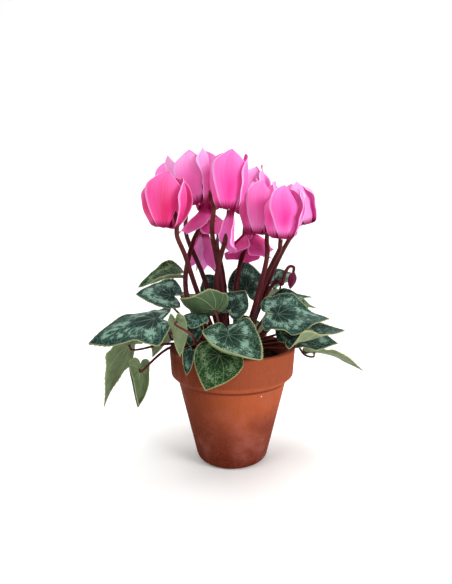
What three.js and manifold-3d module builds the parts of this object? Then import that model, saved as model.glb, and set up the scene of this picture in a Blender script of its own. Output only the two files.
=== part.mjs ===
// A potted cyclamen: a clay pot, soil, the tuber with its stalks, leaf blades, blooms and one bud.
// Millimetres, +Z up. The origin is the centre of the pot's underside, and the plant's front is -Y.
import * as THREE from "three";
import { mergeVertices } from "three/addons/utils/BufferGeometryUtils.js";
import Module from "manifold-3d";

const wasm = await Module();
wasm.setup();

// Room between pieces that touch
const GAP = 0.3;

// Clay pot with a rolled band and a drain hole
const POT_HEIGHT = 120;
const POT_RIM_RADIUS = 65;
const BAND_BOTTOM_RADIUS = 63.2;
const BAND_BOTTOM_HEIGHT = 92.4;
const BODY_TOP_RADIUS = 56;
const BODY_TOP_HEIGHT = 85.5;
const POT_FOOT_RADIUS = 36.2;
const FOOT_ROUNDING = 8;
const POT_WALL = 6.5;
const POT_FLOOR = 9;
const DRAIN_RADIUS = 6;
const POT_SIDES = 28;

// Soil
const SOIL_HEIGHT = 104;
const SOIL_LUMP = 1.3;

// Tuber, half sunk in the soil
const TUBER_RADIUS = 21;
const TUBER_HALF_HEIGHT = 11;
const TUBER_HEIGHT = 101;
const CROWN_RADIUS = 13;

// Stalks, as radii at their two ends
const LEAF_STALK_FOOT = 1.9;
const LEAF_STALK_END = 0.9;
const LEAF_STALK_SIDES = 5;
const LEAF_STALK_STEPS = 5;
const FLOWER_STALK_FOOT = 2.8;
const FLOWER_STALK_END = 1.8;
const FLOWER_STALK_SIDES = 5;
const FLOWER_STALK_STEPS = 11;
const BUD_STALK_FOOT = 2.2;
const BUD_STALK_END = 1.4;
const STALK_GRADE = 2;

// Leaf blades
const LEAF_THICKNESS = 0.9;
const LEAF_RIM_STEPS = 16;
const LEAF_RINGS = [0.55, 1];
const LEAF_SPREAD = 0.58;
const LEAF_TOOTH = 0.025;
const LEAF_WAVES = 5;
const LEAF_RIPPLE = 0.03;
const LEAF_ARCH = 20;
const LEAF_CURL = 15;

// Corolla, with its mouth at the bloom's own origin and its petals swept up
const MOUTH_RADIUS = 5.8;
const TUBE_HEIGHT = 9;
const TUBE_TOP_RADIUS = 4.6;
const PETAL_THICKNESS = 0.8;
const PETAL_LENGTH = 58;
const PETAL_HALF_WIDTH = 15.5;
const PETAL_FULLNESS = 3.5;
const PETAL_NARROWING = 1.45;
const PETAL_POINT = 0.62;
const PETAL_CLAW = 0.12;
const PETAL_BEND_LENGTH = 5.5;
const PETAL_CLOSING = 65;
const PETAL_TWIST = 22;
const PETAL_WRAP = 0.8;
const PETAL_ACROSS = 4;
const PETAL_ROWS = [0.16, 0.42, 0.68, 0.88, 1];
const PETALS = 5;
const CALYX_RADIUS = 4.8;
const CALYX_HEIGHT = 3.6;

const CLAY = new THREE.MeshStandardMaterial({ color: 0xa85a40, roughness: 0.9, metalness: 0 });
const SOIL = new THREE.MeshStandardMaterial({ color: 0x2b1c14, roughness: 1, metalness: 0 });
const STALK = new THREE.MeshStandardMaterial({ color: 0x5a1a26, roughness: 0.55, metalness: 0 });
const LEAF = new THREE.MeshStandardMaterial({ color: 0x2c5a44, roughness: 0.5, metalness: 0 });
const PETAL = new THREE.MeshStandardMaterial({ color: 0xf857a8, roughness: 0.6, metalness: 0 });
const BUD = new THREE.MeshStandardMaterial({ color: 0x8e1b52, roughness: 0.55, metalness: 0 });

const radians = THREE.MathUtils.degToRad;
const vector = (values) => new THREE.Vector3(...values);

const cyclamen = new THREE.Group();

function addPiece(name, geometry, material) {
  geometry.computeVertexNormals();
  const mesh = new THREE.Mesh(geometry, material);
  mesh.name = name;
  cyclamen.add(mesh);
}

// Solids

function toSolid(geometry) {
  const bare = geometry.clone();
  bare.deleteAttribute("normal");
  bare.deleteAttribute("uv");
  const merged = mergeVertices(bare, 1e-4);
  const mesh = new wasm.Mesh({
    numProp: 3,
    vertProperties: merged.attributes.position.array,
    triVerts: Uint32Array.from(merged.index.array),
  });
  return new wasm.Manifold(mesh);
}

function toGeometry(solid) {
  const mesh = solid.getMesh();
  const geometry = new THREE.BufferGeometry();
  geometry.setAttribute("position", new THREE.BufferAttribute(mesh.vertProperties, 3));
  geometry.setIndex(new THREE.BufferAttribute(mesh.triVerts, 1));
  return geometry;
}

function largestBody(solid) {
  return solid.decompose().reduce((best, body) => (body.volume() > best.volume() ? body : best));
}

// A solid of revolution about Z from [radius, height] points that start and end on the axis or close.
function lathe(profile, sides) {
  const points = profile.map(([radius, height]) => new THREE.Vector2(radius, height));
  return new THREE.LatheGeometry(points, sides).rotateX(Math.PI / 2);
}

// Steps along this curve grow shorter towards its end.
class GradedCurve extends THREE.Curve {
  constructor(curve, grade) {
    super();
    this.curve = curve;
    this.grade = grade;
  }

  getPointAt(share, target) {
    return this.curve.getPointAt(1 - (1 - share) ** this.grade, target);
  }

  getTangentAt(share, target) {
    return this.curve.getTangentAt(1 - (1 - share) ** this.grade, target);
  }
}

// A tapered tube along a curve: each ring of the extrusion is drawn in towards the curve.
function tube(curve, footRadius, endRadius, sides, steps) {
  const section = new THREE.Shape();
  for (let i = 0; i < sides; i += 1) {
    const angle = (2 * Math.PI * i) / sides;
    const x = footRadius * Math.cos(angle);
    const y = footRadius * Math.sin(angle);
    if (i === 0) section.moveTo(x, y);
    else section.lineTo(x, y);
  }
  section.closePath();
  const geometry = new THREE.ExtrudeGeometry(section, { steps, extrudePath: curve, bevelEnabled: false });
  const centres = curve.getSpacedPoints(steps);
  const positions = geometry.attributes.position;
  const point = new THREE.Vector3();
  for (let i = 0; i < positions.count; i += 1) {
    point.fromBufferAttribute(positions, i);
    const misfits = centres.map((centre) => Math.abs(centre.distanceTo(point) - footRadius));
    const ring = misfits.indexOf(Math.min(...misfits));
    const shrink = 1 + (endRadius / footRadius - 1) * (ring / steps);
    point.sub(centres[ring]).multiplyScalar(shrink).add(centres[ring]);
    positions.setXYZ(i, point.x, point.y, point.z);
  }
  return geometry;
}

// A thin shell of even thickness on both sides of an open surface, split alike on both faces.
function thicken(points, triangles, thickness) {
  const count = points.length;
  const surface = new THREE.BufferGeometry().setFromPoints(points);
  surface.setIndex(triangles.flat());
  surface.computeVertexNormals();
  const normal = new THREE.Vector3();
  const upper = [];
  const lower = [];
  points.forEach((point, i) => {
    normal.fromBufferAttribute(surface.attributes.normal, i).multiplyScalar(thickness / 2);
    upper.push(point.clone().add(normal));
    lower.push(point.clone().sub(normal));
  });
  const edges = new Set(triangles.flatMap(([a, b, c]) => [`${a},${b}`, `${b},${c}`, `${c},${a}`]));
  const faces = [];
  for (const [a, b, c] of triangles) {
    faces.push(a, b, c);
    faces.push(count + a, count + c, count + b);
    for (const [from, to] of [[a, b], [b, c], [c, a]]) {
      if (edges.has(`${to},${from}`)) continue;
      faces.push(to, from, count + from);
      faces.push(to, count + from, count + to);
    }
  }
  const shell = new THREE.BufferGeometry().setFromPoints([...upper, ...lower]);
  shell.setIndex(faces);
  return shell;
}

// Pot

function footArc() {
  const lean = Math.atan2(BODY_TOP_RADIUS - POT_FOOT_RADIUS, BODY_TOP_HEIGHT);
  const tangent = FOOT_ROUNDING * Math.tan((Math.PI / 2 - lean) / 2);
  const centreRadius = POT_FOOT_RADIUS - tangent;
  const arc = [];
  for (let i = 0; i <= 4; i += 1) {
    const angle = -Math.PI / 2 + ((Math.PI / 2 - lean) * i) / 4;
    const radius = centreRadius + FOOT_ROUNDING * Math.cos(angle);
    const height = FOOT_ROUNDING + FOOT_ROUNDING * Math.sin(angle);
    arc.push([radius, height]);
  }
  return arc;
}

const RIM_INSIDE = POT_RIM_RADIUS - POT_WALL;
const BAND_INSIDE = BAND_BOTTOM_RADIUS - POT_WALL;
const BODY_INSIDE = BODY_TOP_RADIUS - POT_WALL;
const FLOOR_INSIDE = POT_FOOT_RADIUS - 3;

function potProfile() {
  return [
    [DRAIN_RADIUS, 0],
    ...footArc(),
    [BODY_TOP_RADIUS, BODY_TOP_HEIGHT],
    [BAND_BOTTOM_RADIUS, BAND_BOTTOM_HEIGHT],
    [POT_RIM_RADIUS, POT_HEIGHT - 1.4],
    [POT_RIM_RADIUS - 1.4, POT_HEIGHT],
    [RIM_INSIDE + 1.4, POT_HEIGHT],
    [RIM_INSIDE, POT_HEIGHT - 1.4],
    [BAND_INSIDE, BAND_BOTTOM_HEIGHT],
    [BODY_INSIDE, BODY_TOP_HEIGHT],
    [FLOOR_INSIDE, POT_FLOOR + 3],
    [FLOOR_INSIDE - 3, POT_FLOOR],
    [DRAIN_RADIUS, POT_FLOOR],
    [DRAIN_RADIUS, 0],
  ];
}

// Soil

function soilProfile() {
  const rise = (SOIL_HEIGHT - BAND_BOTTOM_HEIGHT) / (POT_HEIGHT - 1.4 - BAND_BOTTOM_HEIGHT);
  const edge = BAND_INSIDE + (RIM_INSIDE - BAND_INSIDE) * rise - GAP;
  return [
    [0, POT_FLOOR + GAP],
    [FLOOR_INSIDE - 3 - GAP, POT_FLOOR + GAP],
    [FLOOR_INSIDE - GAP, POT_FLOOR + 3],
    [BODY_INSIDE - GAP, BODY_TOP_HEIGHT],
    [BAND_INSIDE - GAP, BAND_BOTTOM_HEIGHT + GAP],
    [edge, SOIL_HEIGHT],
    [46, SOIL_HEIGHT],
    [34, SOIL_HEIGHT],
    [26, SOIL_HEIGHT],
    [0, SOIL_HEIGHT],
  ];
}

// Low waves that cross each other stand for crumbs and dips in the soil.
function soilLump(x, y) {
  return Math.sin(0.31 * x + 1.2) * Math.cos(0.27 * y) + 0.6 * Math.sin(0.19 * (x - y));
}

function soilSolid() {
  const geometry = lathe(soilProfile(), POT_SIDES);
  const positions = geometry.attributes.position;
  for (let i = 0; i < positions.count; i += 1) {
    if (Math.abs(positions.getZ(i) - SOIL_HEIGHT) > 1e-3) continue;
    const lump = SOIL_LUMP * soilLump(positions.getX(i), positions.getY(i));
    positions.setZ(i, SOIL_HEIGHT + lump);
  }
  return toSolid(geometry).subtract(tuberBody(GAP));
}

// Tuber and stalks

function tuberBody(extra) {
  const ball = new THREE.SphereGeometry(1, 14, 8).rotateX(Math.PI / 2);
  const wide = TUBER_RADIUS + extra;
  ball.scale(wide, wide, TUBER_HALF_HEIGHT + extra);
  ball.translate(0, 0, TUBER_HEIGHT);
  return toSolid(ball);
}

// The point of the tuber's top that lies at a radius and an azimuth, a little below the skin.
function crownPoint(radius, azimuth) {
  const drop = Math.sqrt(1 - (radius / TUBER_RADIUS) ** 2);
  const height = TUBER_HEIGHT + TUBER_HALF_HEIGHT * drop - 2.5;
  return new THREE.Vector3(radius * Math.cos(azimuth), radius * Math.sin(azimuth), height);
}

// A stalk to a low leaf outside the pot rests just above the rim.
function rimPass(seat) {
  const distance = Math.hypot(seat.x, seat.y);
  if (distance < POT_RIM_RADIUS || seat.z > POT_HEIGHT + 25) return [];
  const share = (POT_RIM_RADIUS - 3) / distance;
  return [[seat.x * share, seat.y * share, POT_HEIGHT + 5]];
}

function leafStalk(leaf) {
  const seat = leafPoint(leaf, 0, 0);
  const down = leafNormal(leaf).multiplyScalar(-1);
  const azimuth = Math.atan2(seat.y, seat.x);
  const foot = crownPoint(CROWN_RADIUS, azimuth);
  const rise = foot.clone().setZ(0).multiplyScalar(0.35).add(foot).setZ(foot.z + 9);
  const end = seat.clone().addScaledVector(down, LEAF_THICKNESS / 2 + GAP + 0.25);
  const neck = end.clone().addScaledVector(down, leaf.neck ?? 8);
  const via = (leaf.via ?? rimPass(seat)).map(vector);
  const curve = new THREE.CatmullRomCurve3([foot, rise, ...via, neck, end], false, "centripetal");
  return toSolid(tube(curve, LEAF_STALK_FOOT, LEAF_STALK_END, LEAF_STALK_SIDES, LEAF_STALK_STEPS));
}

// The stalk climbs beside the bloom's mouth, hooks over between two petals and ends in the calyx.
function flowerStalkCurve(bloom) {
  const place = bloomPlace(bloom);
  const beside = (radius, height) => {
    const reach = radius * (bloom.stalkReach ?? 1);
    return mouthPoint(radians(bloom.stalkSide), reach, height).applyMatrix4(place);
  };
  const foot = crownPoint(bloom.root[0], radians(bloom.root[1]));
  const climb = bloom.climb.map(vector);
  const hook = [beside(11.5, -6), beside(10.5, 4), beside(7.6, 13), beside(2.6, 17), beside(0, 12.4)];
  const curve = new THREE.CatmullRomCurve3([foot, ...climb, ...hook], false, "centripetal");
  return new GradedCurve(curve, STALK_GRADE);
}

function flowerStalk(bloom, extra = 0) {
  const curve = flowerStalkCurve(bloom);
  const foot = FLOWER_STALK_FOOT + extra;
  const end = FLOWER_STALK_END + extra;
  return toSolid(tube(curve, foot, end, FLOWER_STALK_SIDES, FLOWER_STALK_STEPS));
}

// Five sepals as a ten-sided star that sits on top of the corolla tube.
function calyx(bloom) {
  const seat = TUBE_HEIGHT + PETAL_THICKNESS / 2 + GAP;
  const geometry = lathe(
    [[0, seat], [CALYX_RADIUS, seat], [2, seat + CALYX_HEIGHT], [0, seat + CALYX_HEIGHT]],
    10,
  );
  const positions = geometry.attributes.position;
  for (let i = 0; i < positions.count; i += 1) {
    const angle = Math.atan2(positions.getY(i), positions.getX(i));
    const tooth = 0.86 + 0.14 * Math.cos(5 * angle);
    positions.setXYZ(i, positions.getX(i) * tooth, positions.getY(i) * tooth, positions.getZ(i));
  }
  return toSolid(geometry.applyMatrix4(bloomPlace(bloom)));
}

// Leaf blades
// base is where the stalk joins, tip the pointed end, face the way the upper side looks.
// Angles are in degrees: arch bends the midrib, and curl lifts the left and right halves.
// spread is the blade's reach beside the stalk and ripple the margin's wave, as shares of the length.

function leafRim(leaf, share) {
  const spread = leaf.spread ?? LEAF_SPREAD;
  const tip = (1 - spread) * Math.exp(-7.5 * share);
  const sinus = (spread - 0.08) * Math.exp(-6 * (1 - share));
  return spread + tip - sinus;
}

function leafFrame(leaf) {
  const chord = vector(leaf.tip).sub(vector(leaf.base));
  const along = chord.clone().normalize();
  const up = vector(leaf.face);
  up.addScaledVector(along, -up.dot(along)).normalize();
  const side = along.clone().cross(up);
  const arch = radians(leaf.arch ?? LEAF_ARCH);
  const length = (chord.length() * (arch / 2)) / Math.sin(arch / 2);
  return { along, up, side, arch, length };
}

// reach is 0 at the stalk and 1 on the rim; angle is measured from the midrib, + to the right.
function leafPoint(leaf, angle, reach, tooth = 0) {
  const { along, up, side, arch, length } = leafFrame(leaf);
  const rim = leafRim(leaf, Math.abs(angle) / Math.PI) * (1 + tooth) * length;
  const flatY = reach * rim * Math.cos(angle);
  const sweep = (leaf.sweep ?? 0) * length * Math.max(0, flatY / length) ** 2;
  const flatX = reach * rim * Math.sin(angle) * (leaf.width ?? 1) + sweep;
  const bend = arch * (flatY / length - 0.5);
  const radius = length / arch;
  const half = leafRim(leaf, 0.5) * length * (leaf.width ?? 1);
  const [left, right] = leaf.curl ?? [LEAF_CURL, LEAF_CURL];
  const curl = radians(flatX < 0 ? left : right);
  const turn = (curl * flatX) / half;
  const sideways = (Math.sin(turn) * half) / curl;
  const wave = (leaf.ripple ?? LEAF_RIPPLE) * length * reach ** 2 * Math.sin(LEAF_WAVES * angle);
  const lift = ((1 - Math.cos(turn)) * half) / curl + wave;
  const normal = along.clone().multiplyScalar(Math.sin(bend)).addScaledVector(up, Math.cos(bend));
  return vector(leaf.base)
    .addScaledVector(along, radius * (Math.sin(bend) + Math.sin(arch / 2)))
    .addScaledVector(up, radius * (Math.cos(bend) - Math.cos(arch / 2)))
    .addScaledVector(side, sideways)
    .addScaledVector(normal, lift);
}

function leafNormal(leaf) {
  const { along, up, arch } = leafFrame(leaf);
  return along.multiplyScalar(-Math.sin(arch / 2)).addScaledVector(up, Math.cos(arch / 2));
}

function leafBlade(leaf) {
  const points = [leafPoint(leaf, 0, 0)];
  for (const reach of LEAF_RINGS) {
    for (let i = 0; i < LEAF_RIM_STEPS; i += 1) {
      const step = (2 * i) / LEAF_RIM_STEPS - 1;
      const share = step - (0.5 * Math.sin(2 * Math.PI * step)) / (2 * Math.PI);
      const tooth = reach === 1 && i % 2 === 0 ? LEAF_TOOTH : -LEAF_TOOTH;
      points.push(leafPoint(leaf, -Math.PI * share, reach, reach === 1 ? tooth : 0));
    }
  }
  const triangles = [];
  for (let i = 0; i < LEAF_RIM_STEPS; i += 1) {
    const next = (i + 1) % LEAF_RIM_STEPS;
    triangles.push([0, 1 + i, 1 + next]);
    const inner = [1 + i, 1 + next];
    const outer = [1 + LEAF_RIM_STEPS + i, 1 + LEAF_RIM_STEPS + next];
    triangles.push([inner[0], outer[0], outer[1]]);
    triangles.push([inner[0], outer[1], inner[1]]);
  }
  return thicken(points, triangles, LEAF_THICKNESS);
}

// Blooms
// mouth is the centre of the corolla's mouth. lean is [degrees from upright, azimuth it leans to].
// reflex is each petal's angle from hanging straight down: 150 stands up, 20 hangs. closing turns the
// tips of standing petals inwards. hanging is a hanging petal's length, as a share of a standing one's,
// and hangingTwist its twist.

function bloomPlace(bloom) {
  const [angle, azimuth] = bloom.lean.map(radians);
  const axis = new THREE.Vector3(-Math.sin(azimuth), Math.cos(azimuth), 0);
  const turn = new THREE.Matrix4().makeRotationAxis(axis, angle);
  const move = new THREE.Matrix4().makeTranslation(...bloom.mouth);
  return move.multiply(turn);
}

function petalHalfWidth(bloom, share) {
  const width = (bloom.width ?? 1) * PETAL_HALF_WIDTH;
  const outline = PETAL_FULLNESS * share ** PETAL_NARROWING * Math.max(0, 1 - share) ** PETAL_POINT;
  return width * (outline + PETAL_CLAW * (1 - share));
}

// The petal's midline in the plane of its radius and the bloom's axis. It bends sharply at the mouth,
// and a petal that stands up closes a little towards the axis.
function petalMidline(bloom, reflex, share) {
  const stands = reflex > Math.PI / 2;
  const length = PETAL_LENGTH * (bloom.size ?? 1) * (stands ? 1 : (bloom.hanging ?? 1));
  const closing = stands ? radians(bloom.closing ?? PETAL_CLOSING) : 0;
  const heading = (part) => {
    const bent = THREE.MathUtils.smoothstep(part * length, -1, PETAL_BEND_LENGTH);
    return reflex * bent + closing * part ** 1.5;
  };
  const steps = 40;
  let radius = MOUTH_RADIUS;
  let height = 0;
  for (let i = 0; i < steps; i += 1) {
    const angle = heading((share * (i + 0.5)) / steps);
    radius += (Math.sin(angle) * share * length) / steps;
    height -= (Math.cos(angle) * share * length) / steps;
  }
  return { radius, height, angle: heading(share) };
}

function mouthPoint(azimuth, radius, height) {
  return new THREE.Vector3(radius * Math.cos(azimuth), radius * Math.sin(azimuth), height);
}

// The five petals grow out of one ring, so each starts on its own fifth of the mouth's edge.
function petalPoint(bloom, index, share, across) {
  const reflex = radians(bloom.reflex[index]);
  const { radius, height, angle } = petalMidline(bloom, reflex, share);
  const azimuth = radians(bloom.spin + 72 * index);
  const out = new THREE.Vector3(Math.cos(azimuth), Math.sin(azimuth), 0);
  const tangent = new THREE.Vector3(-Math.sin(azimuth), Math.cos(azimuth), 0);
  const up = new THREE.Vector3(0, 0, 1);
  const normal = out.clone().multiplyScalar(Math.cos(angle)).addScaledVector(up, Math.sin(angle));
  const offset = across * petalHalfWidth(bloom, share);
  const settled = THREE.MathUtils.smoothstep(share, 0, 0.14);
  const stands = reflex > Math.PI / 2;
  const twist = radians(stands ? PETAL_TWIST : (bloom.hangingTwist ?? PETAL_TWIST)) * settled;
  const turn = (-Math.cos(angle) * PETAL_WRAP * offset) / radius;
  const lateral = offset * (1 - turn ** 2 / 6);
  const inward = (offset * turn * (1 - turn ** 2 / 12)) / 2;
  const free = out
    .clone()
    .multiplyScalar(radius)
    .addScaledVector(up, height)
    .addScaledVector(tangent, lateral * Math.cos(twist) - inward * Math.sin(twist))
    .addScaledVector(normal, lateral * Math.sin(twist) + inward * Math.cos(twist));
  const rim = mouthPoint(azimuth + (across * Math.PI) / PETALS, MOUTH_RADIUS, 0);
  return rim.lerp(free, settled);
}

// One thin shell: a domed tube that opens downwards and parts into petals at its mouth.
function corolla(bloom) {
  const columns = PETALS * PETAL_ACROSS;
  const points = [new THREE.Vector3(0, 0, TUBE_HEIGHT)];
  for (const [radius, height] of [[TUBE_TOP_RADIUS, TUBE_HEIGHT - 0.8], [MOUTH_RADIUS, 0]]) {
    for (let column = 0; column < columns; column += 1) {
      const azimuth = radians(bloom.spin - 36) + (2 * Math.PI * column) / columns;
      points.push(mouthPoint(azimuth, radius, height));
    }
  }
  const triangles = [];
  const band = (upper, lower) => {
    for (let j = 0; j + 1 < upper.length; j += 1) {
      triangles.push([upper[j], lower[j], lower[j + 1]]);
      triangles.push([upper[j], lower[j + 1], upper[j + 1]]);
    }
  };
  const ring = (start) => Array.from({ length: columns + 1 }, (_, column) => start + (column % columns));
  const shoulder = ring(1);
  const mouth = ring(1 + columns);
  for (let column = 0; column < columns; column += 1) {
    triangles.push([0, shoulder[column], shoulder[column + 1]]);
  }
  band(shoulder, mouth);
  for (let index = 0; index < PETALS; index += 1) {
    let upper = mouth.slice(index * PETAL_ACROSS, (index + 1) * PETAL_ACROSS + 1);
    for (const share of PETAL_ROWS.slice(0, -1)) {
      const lower = upper.map((_, j) => points.length + j);
      for (let j = 0; j <= PETAL_ACROSS; j += 1) {
        points.push(petalPoint(bloom, index, share, (2 * j) / PETAL_ACROSS - 1));
      }
      band(upper, lower);
      upper = lower;
    }
    const tip = points.length;
    points.push(petalPoint(bloom, index, 1, 0));
    for (let j = 0; j < PETAL_ACROSS; j += 1) {
      triangles.push([upper[j], tip, upper[j + 1]]);
    }
  }
  return thicken(points, triangles, PETAL_THICKNESS);
}

// The hooked stalk passes between two petals, through a notch in their edges.
function bloomSolid(bloom) {
  const body = toSolid(corolla(bloom).applyMatrix4(bloomPlace(bloom)));
  return largestBody(body.subtract(flowerStalk(bloom, GAP + 0.1)));
}

// Bud, nodding on a short hooked stalk

function budSolid(bud) {
  const geometry = lathe([[0, 0], [2.6, -0.6], [4.4, -5], [3.6, -10], [1.6, -15], [0, -17.5]].reverse(), 8);
  return toSolid(geometry.applyMatrix4(bloomPlace(bud)));
}

function budStalk(bud) {
  const place = bloomPlace(bud);
  const foot = crownPoint(bud.root[0], radians(bud.root[1]));
  const local = [[9, 0, -14], [8, 0, -2], [4.5, 0, 5], [0.6, 0, 4.6], [0, 0, GAP]];
  const side = new THREE.Matrix4().makeRotationZ(radians(bud.stalkSide));
  const hook = local.map((point) => vector(point).applyMatrix4(side).applyMatrix4(place));
  const curve = new THREE.CatmullRomCurve3([foot, ...bud.climb.map(vector), ...hook], false, "centripetal");
  const graded = new GradedCurve(curve, STALK_GRADE);
  return toSolid(tube(graded, BUD_STALK_FOOT, BUD_STALK_END, FLOWER_STALK_SIDES, FLOWER_STALK_STEPS));
}

// The plant's own layout

const LEAVES = [
  {
    name: "leaf_left_long", base: [-74, -34, 154], tip: [-140, -35, 130], face: [-0.25, -0.42, 0.88],
    spread: 0.36, width: 1.2, curl: [-25, -30], arch: 25,
  },
  {
    name: "leaf_left_hanging", base: [-107, -4, 121], tip: [-130, -20, 60], face: [-0.7, 0.7, 0.1],
    spread: 0.33, width: 0.66, curl: [30, 20], arch: 35, ripple: 0.08, via: [[-64, -10, 124]],
  },
  {
    name: "leaf_left_folded", base: [-91, -28, 102], tip: [-93, -40, 58], face: [-0.3, 0.9, 0.1],
    spread: 0.42, width: 0.68, curl: [20, -90], arch: 20, via: [[-60, -24, 124]],
  },
  {
    name: "leaf_upper_left", base: [-66, 42, 190], tip: [-104, 38, 176], face: [-0.2, -0.4, 0.9],
    curl: [45, 35], arch: 40,
  },
  {
    name: "leaf_left_silver", base: [-64, 4, 172], tip: [-100, 6, 172], face: [-0.1, -0.6, 0.8],
    curl: [10, 10], arch: 40,
  },
  {
    name: "leaf_left_drooping", base: [-50, -57, 155], tip: [-47, -60, 123], face: [0.2, 0.85, 0.4],
    spread: 0.38, width: 0.7, curl: [20, 20], arch: 35, neck: 4, via: [[-32, -48, 132], [-37, -63, 145]],
  },
  {
    name: "leaf_centre_dome", base: [-17, -31, 162], tip: [-49, -40, 175], face: [0, 0.8, 0.6],
    spread: 0.6, curl: [50, 50], arch: -40,
  },
  {
    name: "leaf_small_left", base: [-35, -35, 156], tip: [-38, -51, 148], face: [0, -0.7, 0.7],
    spread: 0.75, curl: [-20, -20], neck: 4, via: [[-27, -15, 146]],
  },
  {
    name: "leaf_small_centre", base: [0, -22, 163], tip: [13, -13, 179], face: [-0.3, -0.9, 0.3],
    spread: 0.7, curl: [10, 10],
  },
  {
    name: "leaf_behind_stalks", base: [-19, 26, 175], tip: [-31, 38, 191], face: [-0.2, -0.8, 0.5],
    spread: 0.65, curl: [10, 10],
  },
  {
    name: "leaf_back_dark", base: [16, 34, 176], tip: [15, 54, 206], face: [0, -0.9, 0.4],
    spread: 0.66, curl: [10, 10], width: 0.9,
  },
  {
    name: "leaf_right_upper", base: [50, 32, 184], tip: [70, 36, 193], face: [0, -0.45, 0.85],
    spread: 0.7, curl: [45, 45],
  },
  {
    name: "leaf_right_pointed", base: [51, 9, 166], tip: [85, 10, 169], face: [0, -0.4, 0.9],
    spread: 0.45, curl: [30, 30],
  },
  {
    name: "leaf_right_behind", base: [64, 38, 160], tip: [96, 42, 154], face: [0.1, -0.3, 0.9],
    curl: [10, 10],
  },
  {
    name: "leaf_right_silver", base: [44, -32, 158], tip: [94, -27, 151], face: [0, -0.6, 0.8],
    spread: 0.52, curl: [10, 10], ripple: 0.06,
  },
  {
    name: "leaf_right_trough", base: [59, -41, 135], tip: [111, -22, 139], face: [0.1, -0.3, 0.9],
    spread: 0.38, width: 1.25, curl: [40, 85], arch: 20,
  },
  {
    name: "leaf_right_lower", base: [70, -8, 131], tip: [109, -5, 122], face: [0.3, -0.5, 0.8],
    spread: 0.5, curl: [10, 10],
  },
  {
    name: "leaf_far_right", base: [88, 12, 110], tip: [140, 0, 94], face: [0.2, 0.3, 0.95],
    spread: 0.34, curl: [20, 20], arch: 25, neck: 4, via: [[63, 9, 125], [78, 11, 107]],
  },
  {
    name: "leaf_front_heart", base: [-3, -62, 144], tip: [4, -86, 120], face: [0, -0.8, 0.65],
    spread: 0.75, curl: [25, 25], arch: 14, sweep: -0.65, ripple: 0.045,
  },
  {
    name: "leaf_front_low", base: [-11, -70, 127], tip: [-23, -83, 99], face: [-0.1, -0.9, 0.4],
    spread: 0.58, width: 1.2, curl: [-15, -10], arch: 20,
  },
  {
    name: "leaf_rim_small", base: [-37, -56, 126], tip: [-41, -64, 107], face: [-0.3, -0.8, 0.4],
    spread: 0.4, curl: [80, 80],
  },
  {
    name: "leaf_left_pale", base: [-68, 14, 130], tip: [-88, 20, 102], face: [-0.6, 0.6, 0.5],
    spread: 0.5, curl: [10, 10],
  },
  {
    name: "leaf_centre_low", base: [4, -30, 148], tip: [18, -44, 145], face: [0, -0.6, 0.8],
    spread: 0.7, curl: [10, 10],
  },
  {
    name: "leaf_centre_shade", base: [-38, -30, 144], tip: [-40, -36, 127], face: [-0.1, -0.8, 0.5],
    spread: 0.62,
  },
  {
    name: "leaf_back_left_high", base: [-38, 58, 166], tip: [-58, 80, 150], face: [-0.2, 0.4, 0.9],
    curl: [15, 15], arch: 40,
  },
  {
    name: "leaf_back_left_low", base: [-62, 44, 134], tip: [-98, 64, 112], face: [-0.4, 0.4, 0.8],
    spread: 0.5, curl: [15, 15], arch: 40,
  },
  {
    name: "leaf_back_centre", base: [-6, 55, 156], tip: [-4, 86, 136], face: [0, 0.5, 0.85],
    curl: [15, 15], arch: 40,
  },
  {
    name: "leaf_back_right_high", base: [34, 56, 170], tip: [58, 78, 156], face: [0.2, 0.4, 0.9],
    curl: [15, 15], arch: 40,
  },
  {
    name: "leaf_back_right_low", base: [64, 42, 134], tip: [102, 58, 114], face: [0.4, 0.4, 0.8],
    spread: 0.5, curl: [15, 15], arch: 40,
  },
  {
    name: "leaf_back_low", base: [26, 68, 128], tip: [33, 84, 98], face: [0.2, 0.8, 0.5],
    spread: 0.5, curl: [15, 15], arch: 40,
  },
];

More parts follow.
